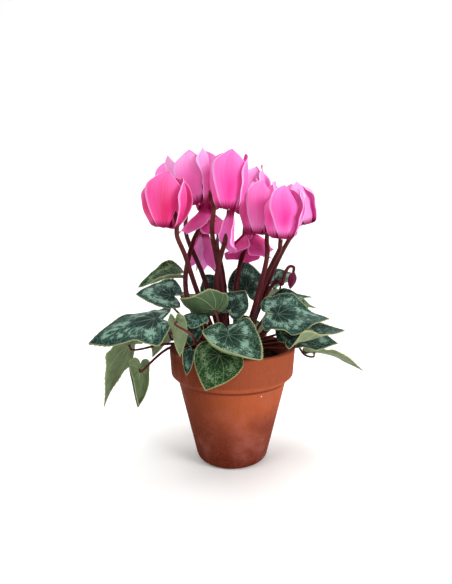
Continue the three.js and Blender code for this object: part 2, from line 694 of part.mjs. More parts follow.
const BLOOMS = [
  {
    name: "bloom_left", mouth: [-61, -42, 237], lean: [7, 10], spin: 54, reflex: [150, 144, 140, 140, 142],
    width: 1.08, closing: 75, stalkSide: 18, root: [9, 200], climb: [[-35, -12, 178], [-44, -22, 224]],
  },
  {
    name: "bloom_top", mouth: [-33, 0, 265], lean: [10, 180], spin: 110, reflex: [150, 146, 150, 152, 150],
    closing: 52, stalkSide: 2, stalkReach: 1.2, root: [5, 200], climb: [[-12, -2, 190], [-20, -8, 238]],
  },
  {
    name: "bloom_centre", mouth: [-3, -35, 257], lean: [5, 0], spin: 270, reflex: [148, 154, 14, 156, 155],
    size: 0.96, hanging: 0.75, width: 1.06, closing: 52,
    stalkSide: 90, root: [7, 270], climb: [[-16, -15, 183], [-4, -19, 240]],
  },
  {
    name: "bloom_right_centre", mouth: [24, -12, 235], lean: [6, 0], spin: 270,
    reflex: [150, 154, 148, 150, 156],
    width: 0.95, closing: 58, stalkSide: 18, root: [9, 320], climb: [[26, -20, 178], [34, -19, 214]],
  },
  {
    name: "bloom_right", mouth: [46, -38, 230], lean: [4, 0], spin: 270, reflex: [150, 150, 154, 158, 154],
    width: 0.92, size: 0.93, stalkSide: 90, root: [10, 350], climb: [[36, -5, 195], [46, -20, 220]],
  },
  {
    name: "bloom_far_right", mouth: [74, 5, 245], lean: [14, 180], spin: 288,
    reflex: [156, 159, 150, 148, 150],
    size: 0.84, width: 0.92, stalkSide: 180, root: [10, 10], climb: [[42, 5, 197], [60, 5, 232]],
  },
  {
    name: "bloom_behind_right", mouth: [15, 28, 256], lean: [6, 0], spin: 270,
    reflex: [156, 152, 148, 150, 156],
    stalkSide: 90, root: [8, 60], climb: [[6, 32, 185], [12, 52, 222]],
  },
  {
    name: "bloom_behind_left", mouth: [-62, 42, 267], lean: [6, 180], spin: 252,
    size: 0.9, reflex: [154, 158, 150, 146, 150],
    stalkSide: 0, root: [9, 150], climb: [[-30, 14, 190], [-51, 40, 238]],
  },
  {
    name: "bloom_under_top", mouth: [-29, 34, 262], lean: [6, 90], spin: 306,
    reflex: [47, 148, 152, 156, 47],
    size: 0.74, hanging: 1.02, width: 0.96, hangingTwist: 6,
    stalkSide: 90, root: [8, 170], climb: [[-45, -12, 172], [-42, 30, 228]],
  },
  {
    name: "bloom_hanging_right", mouth: [18, 15, 237], lean: [5, 90], spin: 234, reflex: [52, 44, 38, 30, 38],
    size: 0.6, width: 0.9, hangingTwist: 17, stalkSide: 90, stalkReach: 1.5,
    root: [7, 20], climb: [[4, 8, 180], [12, 30, 215]],
  },
  {
    name: "bloom_hanging_back", mouth: [-33, 57, 240], lean: [5, 90], spin: 234, reflex: [12, 10, 14, 14, 14],
    size: 0.8, width: 0.55, stalkSide: 0, stalkReach: 1.5,
    root: [8, 110], climb: [[-10, 26, 192], [-17, 46, 225]],
  },
];

const BUDS = [
  {
    name: "bud_right", mouth: [61, -10, 197], lean: [10, 0], stalkSide: 180,
    root: [12, 30], climb: [[34, 0, 172], [46, -6, 188]],
  },
];

// Assembly

addPiece("pot", lathe(potProfile(), POT_SIDES), CLAY);
addPiece("soil", toGeometry(soilSolid()), SOIL);

let growth = tuberBody(0);
LEAVES.forEach((leaf) => {
  growth = growth.add(leafStalk(leaf));
});
BLOOMS.forEach((bloom) => {
  growth = growth.add(flowerStalk(bloom)).add(calyx(bloom));
});
BUDS.forEach((bud) => {
  growth = growth.add(budStalk(bud));
});
addPiece("tuber_and_stalks", toGeometry(growth), STALK);

LEAVES.forEach((leaf) => addPiece(leaf.name, leafBlade(leaf), LEAF));
BLOOMS.forEach((bloom) => addPiece(bloom.name, toGeometry(bloomSolid(bloom)), PETAL));
BUDS.forEach((bud) => addPiece(bud.name, toGeometry(budSolid(bud)), BUD));

export default cyclamen;
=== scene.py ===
"""A potted cyclamen in bloom: clay, soil, stalks, marbled leaves and petals over the fixed frame."""
import math
import random

import bmesh
import bpy
from bpy.props import FloatProperty, FloatVectorProperty
from mathutils import Matrix, Vector, noise


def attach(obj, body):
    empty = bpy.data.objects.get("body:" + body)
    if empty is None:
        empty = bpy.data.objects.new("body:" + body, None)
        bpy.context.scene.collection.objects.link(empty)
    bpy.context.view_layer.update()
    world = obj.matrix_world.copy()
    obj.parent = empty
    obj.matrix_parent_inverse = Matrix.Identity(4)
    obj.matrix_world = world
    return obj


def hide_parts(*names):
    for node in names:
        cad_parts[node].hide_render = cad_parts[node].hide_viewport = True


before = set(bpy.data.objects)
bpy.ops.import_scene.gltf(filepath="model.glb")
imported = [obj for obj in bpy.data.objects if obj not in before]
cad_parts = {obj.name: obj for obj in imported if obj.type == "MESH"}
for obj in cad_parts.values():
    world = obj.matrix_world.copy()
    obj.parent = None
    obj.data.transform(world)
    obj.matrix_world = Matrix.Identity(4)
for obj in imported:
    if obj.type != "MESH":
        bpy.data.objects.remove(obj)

bl_info = {
    "name": "Potted Cyclamen",
    "version": (1, 0, 0),
    "blender": (4, 5, 0),
    "location": "3D View > Sidebar > Cyclamen",
    "description": "Builds a potted cyclamen in bloom over its fixed frame",
    "category": "Object",
}

# Lengths in this file are millimetres until a piece is finished, when its mesh is scaled to metres.
MM = 0.001
BODY = "root"

# The pot's profile, as radii and heights: the top of its wall, the foot of its band, the drain hole,
# the floor inside and the rounding of the foot's corner
WALL_TOP_RADIUS = 56.0
WALL_TOP_HEIGHT = 85.5
BAND_FOOT_RADIUS = 63.2
BAND_FOOT_HEIGHT = 92.4
DRAIN_RADIUS = 6.0
FLOOR_HEIGHT = 9.0
FOOT_ROUNDING = 8.0

# The tuber, the ring on it where leaf stalks start, and how deep the feet of all stalks sink into it
TUBER_RADIUS = 21
TUBER_HALF_HEIGHT = 11
TUBER_HEIGHT = 101
CROWN_RADIUS = 13
CROWN_SINK = 2.5

# Radii of the stalks: a leaf's at its two ends, a flower's and the bud's at the foot
LEAF_STALK_FOOT = 1.9
LEAF_STALK_END = 1.0
FLOWER_STALK_FOOT = 2.8
BUD_STALK_FOOT = 2.2
STALK_STEPS = 8

# A leaf that starts beyond this radius and below this height hangs over the rim, and its stalk passes
# the rim at the second radius and height.
OVERHANG_RADIUS = 65
OVERHANG_HEIGHT = 145
RIM_PASS_RADIUS = 62
RIM_PASS_HEIGHT = 125

# The points of a flower stalk's hook over the calyx: how far out from the flower's axis, and how high
FLOWER_HOOK = ((11.5, -6), (10.5, 4), (7.6, 13), (2.6, 17), (0, 12.4))

# The crumbly ring of soil between the tuber and the wall
CRUST_INNER = 18
CRUST_OUTER = 57
CRUST_HEIGHT = 104.6
CRUMBS = 420

# The outline of a leaf: how quickly its tip and the notch at its stalk die away round the margin, and
# how much of the blade is left in the notch
LEAF_THICKNESS = 0.9
TIP_FADE = 7.5
NOTCH_FADE = 6
NOTCH_REST = 0.08
LEAF_COLUMNS = 120
LEAF_ROWS = 24

# Main veins fan out from the stalk this far apart, as a share of half a turn, and sweep to the tip.
VEIN_SPACING = 0.215
VEIN_SWEEP = 0.11

# How far a rolled margin turns over, in radians, and how high the blade crinkles, in quiltings
ROLL_TURN = 2.6
CRINKLE = 3.2

# The marbled band: how far its pattern moves it outwards, and how wide its borders fade, in reaches
BAND_WANDER = 0.24
BAND_FADE = 0.12

# Petals, as shares of their length and width; angles in degrees
PETALS = 5
PETAL_FULLNESS = 3.5
PETAL_NARROWING = 1.45
PETAL_POINT = 0.62
PETAL_CLAW = 0.12
PETAL_BEND_LENGTH = 5.5
PETAL_CLOSING = 65
PETAL_TWIST = 22
PETAL_WRAP = 0.8
PETAL_STEPS = 40
PETAL_COLUMNS = 16
PETAL_ROWS = 30
TUBE_ROWS = 8

# What the fine petals add: shoulders that meet their neighbours near the mouth, a share of the half
# width; how much a tip narrows to a point; how far a petal sways and bends out of true; and the depth
# of the channel down its middle, in mm
PETAL_SHOULDER = 0.18
PETAL_TIP = 0.45
PETAL_SWAY = 3.6
PETAL_BOW = 2.0
PETAL_CHANNEL = 0.9

# The tube, from its mouth to its calyx, which narrows from a foot to a neck
MOUTH_RADIUS = 5.8
TUBE_HEIGHT = 9
CALYX_SEAT = 9.7
CALYX_FOOT = 4.8
CALYX_NECK = 1.9
CALYX_HEIGHT = 3.4

# The style in the tube, which widens from its root down to its round stigma, and where their middles are
STYLE_ROOT = 0.4
STYLE_END = 0.55
STYLE_LENGTH = 8
STYLE_MIDDLE = 3.4
STIGMA_RADIUS = 0.85
STIGMA_MIDDLE = -0.9

# The room that petals leave round a stalk, and how many of its last points they leave it round
STALK_ROOM = 2.7
STALK_ROOM_POINTS = 34

# The closed bud
BUD_RADIUS = 4.3
BUD_LENGTH = 17.5

# The paper, in metres: half its width, where it ends in front, where it curves up and its height
PAPER_HALF_WIDTH = 3
PAPER_FRONT = -2.2
PAPER_BEND = 1.6
PAPER_BEND_RADIUS = 0.6
PAPER_HEIGHT = 3.0

# The lights, in metres: where each stands and aims, its size and its share of the key light's power
LIGHTS = {
    "key": ((0.95, -0.8, 0.7), (0, 0, 0.17), 0.6, 1),
    "top": ((0.1, 0.05, 1.5), (0, 0, 0.1), 1.3, 0.95),
    "fill": ((-0.75, -0.8, 1.15), (0, 0, 0.2), 0.8, 0.55),
    "wall": ((0, 0.9, 1.7), (0, 2.2, 0.6), 1.6, 2.6),
}

# The camera: its place in metres, how far it looks down in degrees, its lens and its shift
CAMERA_PLACE = (0, -0.4425, 0.2227)
CAMERA_DOWN = 8.065
CAMERA_LENS = 26.72
CAMERA_SHIFT = (-0.0106, 0.0264)

# base is where the stalk joins, tip the pointed end, face the way the upper side looks. spread is how
# far the sides reach, as a share of the length, and width stretches them. Angles are in degrees: arch
# bends the midrib and curl lifts the left and right halves. ripple is the height of the margin's waves
# and sweep carries the tip sideways, as shares of the length. neck is the length of the stalk's bend
# under the blade, and via are points that the stalk passes. look names the marbling of the upper side
# and under the colour of the lower. roll turns part of the margin over: its middle and half its width
# in degrees from the tip, its depth as a share of the reach, and 1 for up or -1 for down.
LEAVES = [
    dict(name="leaf_left_long", base=(-74, -34, 154), tip=(-140, -35, 130), face=(-0.25, -0.42, 0.88),
         spread=0.36, width=1.2, curl=(-25, -30), arch=25, look="silver"),
    dict(name="leaf_left_hanging", base=(-107, -4, 121), tip=(-130, -20, 60), face=(-0.7, 0.7, 0.1),
         spread=0.33, width=0.66, curl=(30, 20), arch=35, ripple=0.08, via=[(-64, -10, 124)],
         look="dark"),
    dict(name="leaf_left_folded", base=(-91, -28, 102), tip=(-93, -40, 58), face=(-0.3, 0.9, 0.1),
         spread=0.42, width=0.68, curl=(20, -90), via=[(-60, -24, 124)], look="dark",
         roll=(-45, 70, 0.55, -1)),
    dict(name="leaf_upper_left", base=(-66, 42, 190), tip=(-104, 38, 176), face=(-0.2, -0.4, 0.9),
         curl=(45, 35), arch=40, look="green", roll=(-75, 60, 0.22, 1)),
    dict(name="leaf_left_silver", base=(-64, 4, 172), tip=(-100, 6, 172), face=(-0.1, -0.6, 0.8),
         curl=(10, 10), arch=40, look="silver"),
    dict(name="leaf_left_drooping", base=(-50, -57, 155), tip=(-47, -60, 123), face=(0.2, 0.85, 0.4),
         spread=0.38, width=0.7, curl=(20, 20), arch=35, neck=4,
         via=[(-32, -48, 132), (-37, -63, 145)], look="dark"),
    # Its lower side takes the underside that is painted darker as shade.
    dict(name="leaf_centre_dome", base=(-17, -31, 162), tip=(-49, -40, 175), face=(0, 0.8, 0.6),
         spread=0.6, curl=(50, 50), arch=-40, look="dark", under="shaded"),
    dict(name="leaf_small_left", base=(-35, -35, 156), tip=(-38, -51, 148), face=(0, -0.7, 0.7),
         spread=0.75, curl=(-20, -20), neck=4, via=[(-27, -15, 146)], look="star"),
    dict(name="leaf_small_centre", base=(0, -22, 163), tip=(13, -13, 179), face=(-0.3, -0.9, 0.3),
         spread=0.7, curl=(10, 10), look="dark"),
    dict(name="leaf_behind_stalks", base=(-19, 26, 175), tip=(-31, 38, 191), face=(-0.2, -0.8, 0.5),
         spread=0.65, curl=(10, 10), look="dark"),
    dict(name="leaf_back_dark", base=(16, 34, 176), tip=(15, 54, 206), face=(0, -0.9, 0.4),
         spread=0.66, curl=(10, 10), width=0.9, look="dark"),
    dict(name="leaf_right_upper", base=(50, 32, 184), tip=(70, 36, 193), face=(0, -0.45, 0.85),
         spread=0.7, curl=(45, 45), look="silver"),
    dict(name="leaf_right_pointed", base=(51, 9, 166), tip=(85, 10, 169), face=(0, -0.4, 0.9),
         spread=0.45, curl=(30, 30), look="dark"),
    dict(name="leaf_right_behind", base=(64, 38, 160), tip=(96, 42, 154), face=(0.1, -0.3, 0.9),
         curl=(10, 10), look="green"),
    dict(name="leaf_right_silver", base=(44, -32, 158), tip=(94, -27, 151), face=(0, -0.6, 0.8),
         spread=0.52, curl=(10, 10), ripple=0.06, look="silver"),
    dict(name="leaf_right_trough", base=(59, -41, 135), tip=(111, -22, 139), face=(0.1, -0.3, 0.9),
         spread=0.38, width=1.25, curl=(40, 85), look="dark"),
    dict(name="leaf_right_lower", base=(70, -8, 131), tip=(109, -5, 122), face=(0.3, -0.5, 0.8),
         spread=0.5, curl=(10, 10), look="dark"),
    dict(name="leaf_far_right", base=(88, 12, 110), tip=(140, 0, 94), face=(0.2, 0.3, 0.95),
         spread=0.34, curl=(20, 20), arch=25, neck=4, via=[(63, 9, 125), (78, 11, 107)], look="green"),
    dict(name="leaf_front_heart", base=(-3, -62, 144), tip=(4, -86, 120), face=(0, -0.8, 0.65),
         spread=0.75, curl=(25, 25), arch=14, sweep=-0.65, ripple=0.045, look="heart",
         roll=(50, 55, 0.26, 1)),
    dict(name="leaf_front_low", base=(-11, -70, 127), tip=(-23, -83, 99), face=(-0.1, -0.9, 0.4),
         width=1.2, curl=(-15, -10), look="green"),
    dict(name="leaf_rim_small", base=(-37, -56, 126), tip=(-41, -64, 107), face=(-0.3, -0.8, 0.4),
         spread=0.4, curl=(80, 80), look="dark"),
    dict(name="leaf_left_pale", base=(-68, 14, 130), tip=(-88, 20, 102), face=(-0.6, 0.6, 0.5),
         spread=0.5, curl=(10, 10), look="green"),
    dict(name="leaf_centre_low", base=(4, -30, 148), tip=(18, -44, 145), face=(0, -0.6, 0.8),
         spread=0.7, curl=(10, 10), look="dark"),
    # Painted shade: a dark leaf set deep among the stalks, where there is only shadow.
    dict(name="leaf_centre_shade", base=(-38, -30, 144), tip=(-40, -36, 127), face=(-0.1, -0.8, 0.5),
         spread=0.62, look="dark"),
    dict(name="leaf_back_left_high", base=(-38, 58, 166), tip=(-58, 80, 150), face=(-0.2, 0.4, 0.9),
         arch=40, look="silver"),
    dict(name="leaf_back_left_low", base=(-62, 44, 134), tip=(-98, 64, 112), face=(-0.4, 0.4, 0.8),
         spread=0.5, arch=40, look="heart"),
    dict(name="leaf_back_centre", base=(-6, 55, 156), tip=(-4, 86, 136), face=(0, 0.5, 0.85),
         arch=40, look="heart"),
    dict(name="leaf_back_right_high", base=(34, 56, 170), tip=(58, 78, 156), face=(0.2, 0.4, 0.9),
         arch=40, look="dark"),
    dict(name="leaf_back_right_low", base=(64, 42, 134), tip=(102, 58, 114), face=(0.4, 0.4, 0.8),
         spread=0.5, arch=40, look="silver"),
    dict(name="leaf_back_low", base=(26, 68, 128), tip=(33, 84, 98), face=(0.2, 0.8, 0.5),
         spread=0.5, arch=40, look="green"),
]

# mouth is the centre of the flower's mouth, lean its tilt and the way it leans, spin the azimuth of its
# first petal and reflex each petal's angle from hanging straight down. size and width are shares of a
# full petal's, and shoulder fills it out near the mouth. closing turns the tips of standing petals
# inwards, in degrees; hanging is a hanging petal's share of the full length, and hanging_twist its
# twist. The stalk starts on the tuber at root, a radius and an azimuth, passes the points of climb, and
# comes down in its hook on stalk_side, stalk_reach times as far out as usual. look names the petals'
# colours.
BLOOMS = [
    dict(name="bloom_left", mouth=(-61, -42, 240), lean=(7, 10), spin=54, size=0.93,
         reflex=(150, 144, 140, 140, 142), width=1.08, shoulder=0.06, closing=75, stalk_side=18,
         root=(9, 200), climb=[(-35, -12, 178), (-45, -26, 214)], look="hot"),
    dict(name="bloom_top", mouth=(-33, 0, 265), lean=(10, 180), spin=110,
         reflex=(150, 146, 150, 152, 150), closing=52, stalk_side=2, stalk_reach=1.2, root=(5, 200),
         climb=[(-12, -2, 190), (-20, -8, 238)], look="pale"),
    dict(name="bloom_centre", mouth=(-3, -35, 257), lean=(5, 0), spin=270,
         reflex=(148, 154, 14, 156, 155), size=0.96, hanging=0.75, width=1.06, closing=52,
         stalk_side=90, root=(7, 270), climb=[(-16, -15, 183), (-4, -19, 240)], look="bright"),
    dict(name="bloom_right_centre", mouth=(24, -12, 235), lean=(6, 0), spin=270,
         reflex=(150, 154, 148, 150, 156), width=0.95, shoulder=0.06, closing=58, stalk_side=18,
         root=(9, 320), climb=[(26, -20, 178), (34, -19, 214)], look="soft"),
    dict(name="bloom_right", mouth=(46, -38, 230), lean=(4, 0), spin=270,
         reflex=(150, 150, 154, 158, 154), width=0.92, size=0.93, shoulder=0.06, stalk_side=90,
         root=(10, 350), climb=[(36, -5, 195), (46, -20, 220)], look="bright"),
    dict(name="bloom_far_right", mouth=(74, 5, 245), lean=(14, 180), spin=288,
         reflex=(156, 159, 150, 148, 150), size=0.84, width=0.92, stalk_side=180, root=(10, 10),
         climb=[(42, 5, 197), (60, 5, 232)], look="pale"),
    dict(name="bloom_behind_right", mouth=(15, 28, 256), lean=(6, 0), spin=270,
         reflex=(156, 152, 148, 150, 156), stalk_side=90, root=(8, 60),
         climb=[(6, 32, 185), (12, 52, 222)], look="pale"),
    dict(name="bloom_behind_left", mouth=(-62, 42, 267), lean=(6, 180), spin=252, size=0.9,
         reflex=(154, 158, 150, 146, 150), stalk_side=0, root=(9, 150),
         climb=[(-30, 14, 190), (-51, 40, 238)], look="soft"),
    dict(name="bloom_under_top", mouth=(-29, 34, 262), lean=(6, 90), spin=306,
         reflex=(47, 148, 152, 156, 51), size=0.74, hanging=1.02, width=1.34, shoulder=0.72,
         hanging_twist=6, stalk_side=90, root=(8, 170), climb=[(-45, -12, 172), (-42, 30, 228)],
         look="deep"),
    dict(name="bloom_hanging_right", mouth=(18, 15, 237), lean=(5, 90), spin=234,
         reflex=(52, 44, 38, 30, 38), size=0.6, width=0.95, shoulder=0.35, hanging_twist=17, stalk_side=90,
         stalk_reach=1.5, root=(7, 20), climb=[(4, 8, 180), (12, 30, 215)], look="deep"),
    dict(name="bloom_hanging_back", mouth=(-33, 57, 240), lean=(5, 90), spin=234,
         reflex=(12, 10, 14, 14, 14), size=0.8, width=0.55, stalk_side=0, stalk_reach=1.5,
         root=(8, 110), climb=[(-10, 26, 192), (-17, 46, 225)], look="pale"),
]

BUD = dict(mouth=(61, -10, 197), lean=(10, 0), stalk_side=180, root=(12, 30),
           climb=[(34, 0, 172), (46, -6, 188)],
           hook=((9, -14), (8, -2), (4.5, 5), (0.6, 4.6), (0, -0.3)))


def linear(colour):
    """An sRGB hex colour as linear red, green, blue and alpha. A property's colour is linear already."""
    if not isinstance(colour, str):
        return tuple(colour)
    parts = [int(colour[i:i + 2], 16) / 255 for i in (1, 3, 5)]
    parts = [p / 12.92 if p <= 0.04045 else ((p + 0.055) / 1.055) ** 2.4 for p in parts]
    return (*parts, 1.0)


def smooth_step(value, low, high):
    """0 below low, 1 above high, and a smooth rise between them."""
    share = min(1.0, max(0.0, (value - low) / (high - low)))
    return share * share * (3 - 2 * share)


# Sizes and colours

def colour_property(name, description, code):
    """A colour setting whose default is an sRGB hex colour."""
    return FloatVectorProperty(name=name, description=description, subtype="COLOR", size=4, min=0, max=1,
                               default=linear(code))


class CyclamenPot(bpy.types.PropertyGroup):
    rim_radius: FloatProperty(
        name="Rim radius", description="Outer radius of the rolled band at the top, in mm",
        default=65.0, min=40)
    height: FloatProperty(
        name="Height", description="Height of the pot, in mm", default=120.0, min=60)
    foot_radius: FloatProperty(
        name="Foot radius", description="Outer radius of the pot's foot before its corner is rounded, in mm",
        default=36.2, min=15)
    wall: FloatProperty(
        name="Wall", description="Thickness of the clay, in mm", default=6.5, min=3)
    clay: colour_property("Clay", "Colour of the fired clay", "#A9512F")


class CyclamenLeaves(bpy.types.PropertyGroup):
    blade: FloatProperty(
        name="Blade", description="Thickness of a leaf blade, in mm", default=0.55, min=0.2, max=0.9)
    teeth: FloatProperty(
        name="Teeth", description="Depth of the margin's teeth as a share of the leaf's length",
        default=0.011, min=0, max=0.04)
    quilting: FloatProperty(
        name="Quilting", description="How far the blade swells between its veins, as a share of its length",
        default=0.012, min=0, max=0.03)
    silver: colour_property("Silver", "Colour of the marbled band", "#92B8A4")
    margin: colour_property("Margin", "Colour of the thin toothed margin", "#B4B583")


class CyclamenBlooms(bpy.types.PropertyGroup):
    petal_length: FloatProperty(
        name="Petal length", description="Length of a full petal, in mm", default=58.0, min=20)
    petal_half_width: FloatProperty(
        name="Petal half width", description="Half the width of a full petal, in mm", default=15.5, min=5)
    petal_thickness: FloatProperty(
        name="Petal thickness", description="Thickness of a petal, in mm", default=0.45, min=0.2, max=0.8)
    ruffle: FloatProperty(
        name="Ruffle", description="Height of the waves along a petal's edges, in mm",
        default=1.7, min=0, max=3)
    throat: colour_property("Throat", "Colour at the mouth of the flower", "#8A0F4C")


class CyclamenStage(bpy.types.PropertyGroup):
    backdrop: colour_property("Backdrop", "Colour of the floor and the wall behind", "#FDFDFC")
    key_light: FloatProperty(
        name="Key light", description="Power of the large soft light at the front", default=11.2, min=0,
        unit="POWER")


# Materials

# The sockets of a node that blends two colours: the second's share, the first, the second, the result
SHARE, FIRST, SECOND, BLEND = 0, 6, 7, 2

# How a tint's share grows where it doesn't ease in and out
EVENLY = "LINEAR"
GENTLY = "SMOOTHERSTEP"


def add(tree, kind, sockets=None, **settings):
    """Add a node, set its own settings, and give its sockets values or other nodes' results."""
    made = tree.nodes.new(f"ShaderNode{kind}")
    for name, value in settings.items():
        setattr(made, name, value)
    for name, value in (sockets or {}).items():
        if isinstance(value, bpy.types.Node):
            value = next(result for result in value.outputs if result.enabled)
        if isinstance(value, bpy.types.NodeSocket):
            tree.links.new(value, made.inputs[name])
        else:
            made.inputs[name].default_value = value
    return made


def start_material(name, sockets):
    """A named material whose one Principled shader has its fixed values, ready for a pattern."""
    material = bpy.data.materials.new(name)
    material.use_nodes = True
    shader = material.node_tree.nodes["Principled BSDF"]
    for socket, value in sockets.items():
        shader.inputs[socket].default_value = value
    return material, material.node_tree


def finish_material(material, base, tints, height, depth_mm, strength):
    """Lay the tints over the base colour, one after another, and add a bump of a real depth. A tint is
    the value it follows, that value where it starts and where it is full, how much of it shows there,
    its colour and, unless it eases in and out, how it grows."""
    tree = material.node_tree
    shader = tree.nodes["Principled BSDF"]
    colour = linear(base)
    for value, begin, full, most, tint, *growth in tints:
        share = add(tree, "MapRange", {"Value": value, "From Min": begin, "From Max": full, "To Max": most},
                    interpolation_type=growth[0] if growth else "SMOOTHSTEP")
        colour = add(tree, "Mix", {SHARE: share, FIRST: colour, SECOND: linear(tint)}, data_type="RGBA")
    tree.links.new(colour.outputs[BLEND], shader.inputs["Base Color"])
    bump = add(tree, "Bump", {"Height": height, "Distance": depth_mm * MM, "Strength": strength})
    tree.links.new(bump.outputs[0], shader.inputs["Normal"])
    return material


def terracotta(pot):
    """Unglazed terracotta, pressed in a mould and fired: dusty matt clay that shines nowhere.
    It grows redder and darker towards the foot, and water drawn through the wall leaves a mauve bloom of
    salts."""
    material, tree = start_material(
        "unglazed_terracotta", {"Roughness": 0.86, "IOR": 1.5, "Specular IOR Level": 0.08})
    place = add(tree, "TexCoord").outputs["Object"]
    axes = add(tree, "SeparateXYZ", {0: place})
    height = axes.outputs["Z"]
    # Clouds 30 mm across, which blur the borders between the colours
    clouds = add(tree, "TexNoise", {"Vector": place, "Scale": 30.0, "Detail": 5.0, "Roughness": 0.55})
    wander = add(tree, "Math", {0: clouds, 1: 0.09, 2: height}, operation="MULTIPLY_ADD")
    # Painted shade: how far a point lies towards -X, away from the key light, its border blurred by the
    # clouds
    painted_shade_side = add(tree, "Math", {0: clouds, 1: -0.03, 2: axes.outputs["X"]}, operation="MULTIPLY_ADD")
    # Streaks 3 mm wide and 60 mm long, left by water that ran down
    drawn = add(tree, "Mapping", {"Vector": place, "Scale": (330, 330, 15)})
    streaks = add(tree, "TexNoise", {"Vector": drawn, "Scale": 1.0, "Detail": 3.0})
    # A grain of 1 mm, coarser than real so that it shows
    grain = add(tree, "TexNoise", {"Vector": place, "Scale": 900.0, "Detail": 3.0})
    # Painted shadow: the distance from the line under the band, where a dark line is painted
    off_band_shadow = add(tree, "Math", {0: height, 1: 0.0863}, operation="SUBTRACT")
    off_band_shadow = add(tree, "Math", {0: off_band_shadow}, operation="ABSOLUTE")
    # Flecks of lime, 0.6 to 1 mm across
    cells = add(tree, "TexVoronoi", {"Vector": place, "Scale": 95.0})
    rare = add(tree, "TexNoise", {"Vector": place, "Scale": 60.0})
    fleck = add(tree, "MapRange", {"Value": cells, "From Min": 0.085, "From Max": 0.05})
    chosen = add(tree, "MapRange", {"Value": rare, "From Min": 0.56, "From Max": 0.6})
    fleck = add(tree, "Math", {0: fleck, 1: chosen}, operation="MULTIPLY")
    rough = add(tree, "Math", {0: clouds, 1: 2.0, 2: grain}, operation="MULTIPLY_ADD")
    return finish_material(material, pot.clay, [
        # Darker and redder lower down, darkest near the foot
        (wander, 0.118, 0.08, 1, "#823A2A"),
        (wander, 0.088, 0.052, 1, "#5E1A0C"),
        # The band is a little duller than the wall, as hands and soil rub it.
        (height, 0.0915, 0.094, 0.65, "#86402A", EVENLY),
        # Painted shade: the side away from the key light, towards -X, is darker.
        (painted_shade_side, 0, -0.06, 0.85, "#561C08"),
        # Painted shadow: a dark line under the band, where it overhangs the wall.
        (off_band_shadow, 0.0022, 0.0006, 0.8, "#4A1C12"),
        (streaks, 0.5, 0.72, 0.3, "#7C3A2A"),
        # Salts that the water leaves as it dries
        (clouds, 0.48, 0.72, 0.4, "#9E5C54"),
        (grain, 0.4, 0.75, 0.12, "#C68561", EVENLY),
        (fleck, 0, 1, 1, "#E4D2C4", EVENLY),
    ], rough, 0.2, 0.4)


def potting_mix():
    """Moist peat and bark potting mix, sieved to crumbs of 2 to 3 mm: nearly black, with paler fibres."""
    material, tree = start_material("peat_and_bark_mix", {"Roughness": 0.95, "Specular IOR Level": 0.2})
    place = add(tree, "TexCoord").outputs["Object"]
    crumbs = add(tree, "TexVoronoi", {"Vector": place, "Scale": 380.0})
    fibres = add(tree, "TexNoise", {"Vector": place, "Scale": 210.0, "Detail": 6.0})
    return finish_material(material, "#190F0A", [
        (fibres, 0.38, 0.66, 1, "#402B1D", EVENLY),
        # Chips of bark
        (crumbs.outputs["Color"], 0.78, 0.9, 0.35, "#6E5238", EVENLY),
    ], crumbs, 1.5, 0.8)


def corky_skin():
    """Tuber skin: brown cork, grown in layers that dry and crack 3 mm apart."""
    material, tree = start_material("corky_tuber_skin", {"Roughness": 0.9, "Specular IOR Level": 0.25})
    place = add(tree, "TexCoord").outputs["Object"]
    cracks = add(tree, "TexVoronoi", {"Vector": place, "Scale": 300.0}, feature="DISTANCE_TO_EDGE")
    patches = add(tree, "TexNoise", {"Vector": place, "Scale": 90.0, "Detail": 4.0})
    depth = add(tree, "MapRange", {"Value": cracks, "From Min": 0.0, "From Max": 0.15})
    tints = [(patches, 0.35, 0.65, 1, "#63412F", EVENLY)]
    return finish_material(material, "#3A2218", tints, depth, 0.6, 0.7)


def stalk_skin(name, low, high, low_height, high_height, roughness):
    """Fleshy stalk, grown as a thin waxy skin over juicy tissue: wine red that turns brown higher up,
    with fine lengthwise streaks and a soft shine along its side."""
    material, tree = start_material(name, {"Roughness": roughness, "IOR": 1.42, "Specular IOR Level": 0.2})
    place = add(tree, "TexCoord").outputs["Object"]
    height = add(tree, "SeparateXYZ", {0: place}).outputs["Z"]
    # Streaks 1 mm wide and 30 mm long, and blotches of 8 mm
    drawn = add(tree, "Mapping", {"Vector": place, "Scale": (900, 900, 34)})
    streaks = add(tree, "TexNoise", {"Vector": drawn, "Scale": 1.0, "Detail": 3.0})
    blotches = add(tree, "TexNoise", {"Vector": place, "Scale": 120.0, "Detail": 3.0})
    return finish_material(material, low, [
        (height, low_height, high_height, 1, high),
        (streaks, 0.42, 0.72, 0.3, "#7C3E36", EVENLY),
        (blotches, 0.6, 0.35, 0.45, "#330C14", EVENLY),
    ], streaks, 0.2, 0.4)


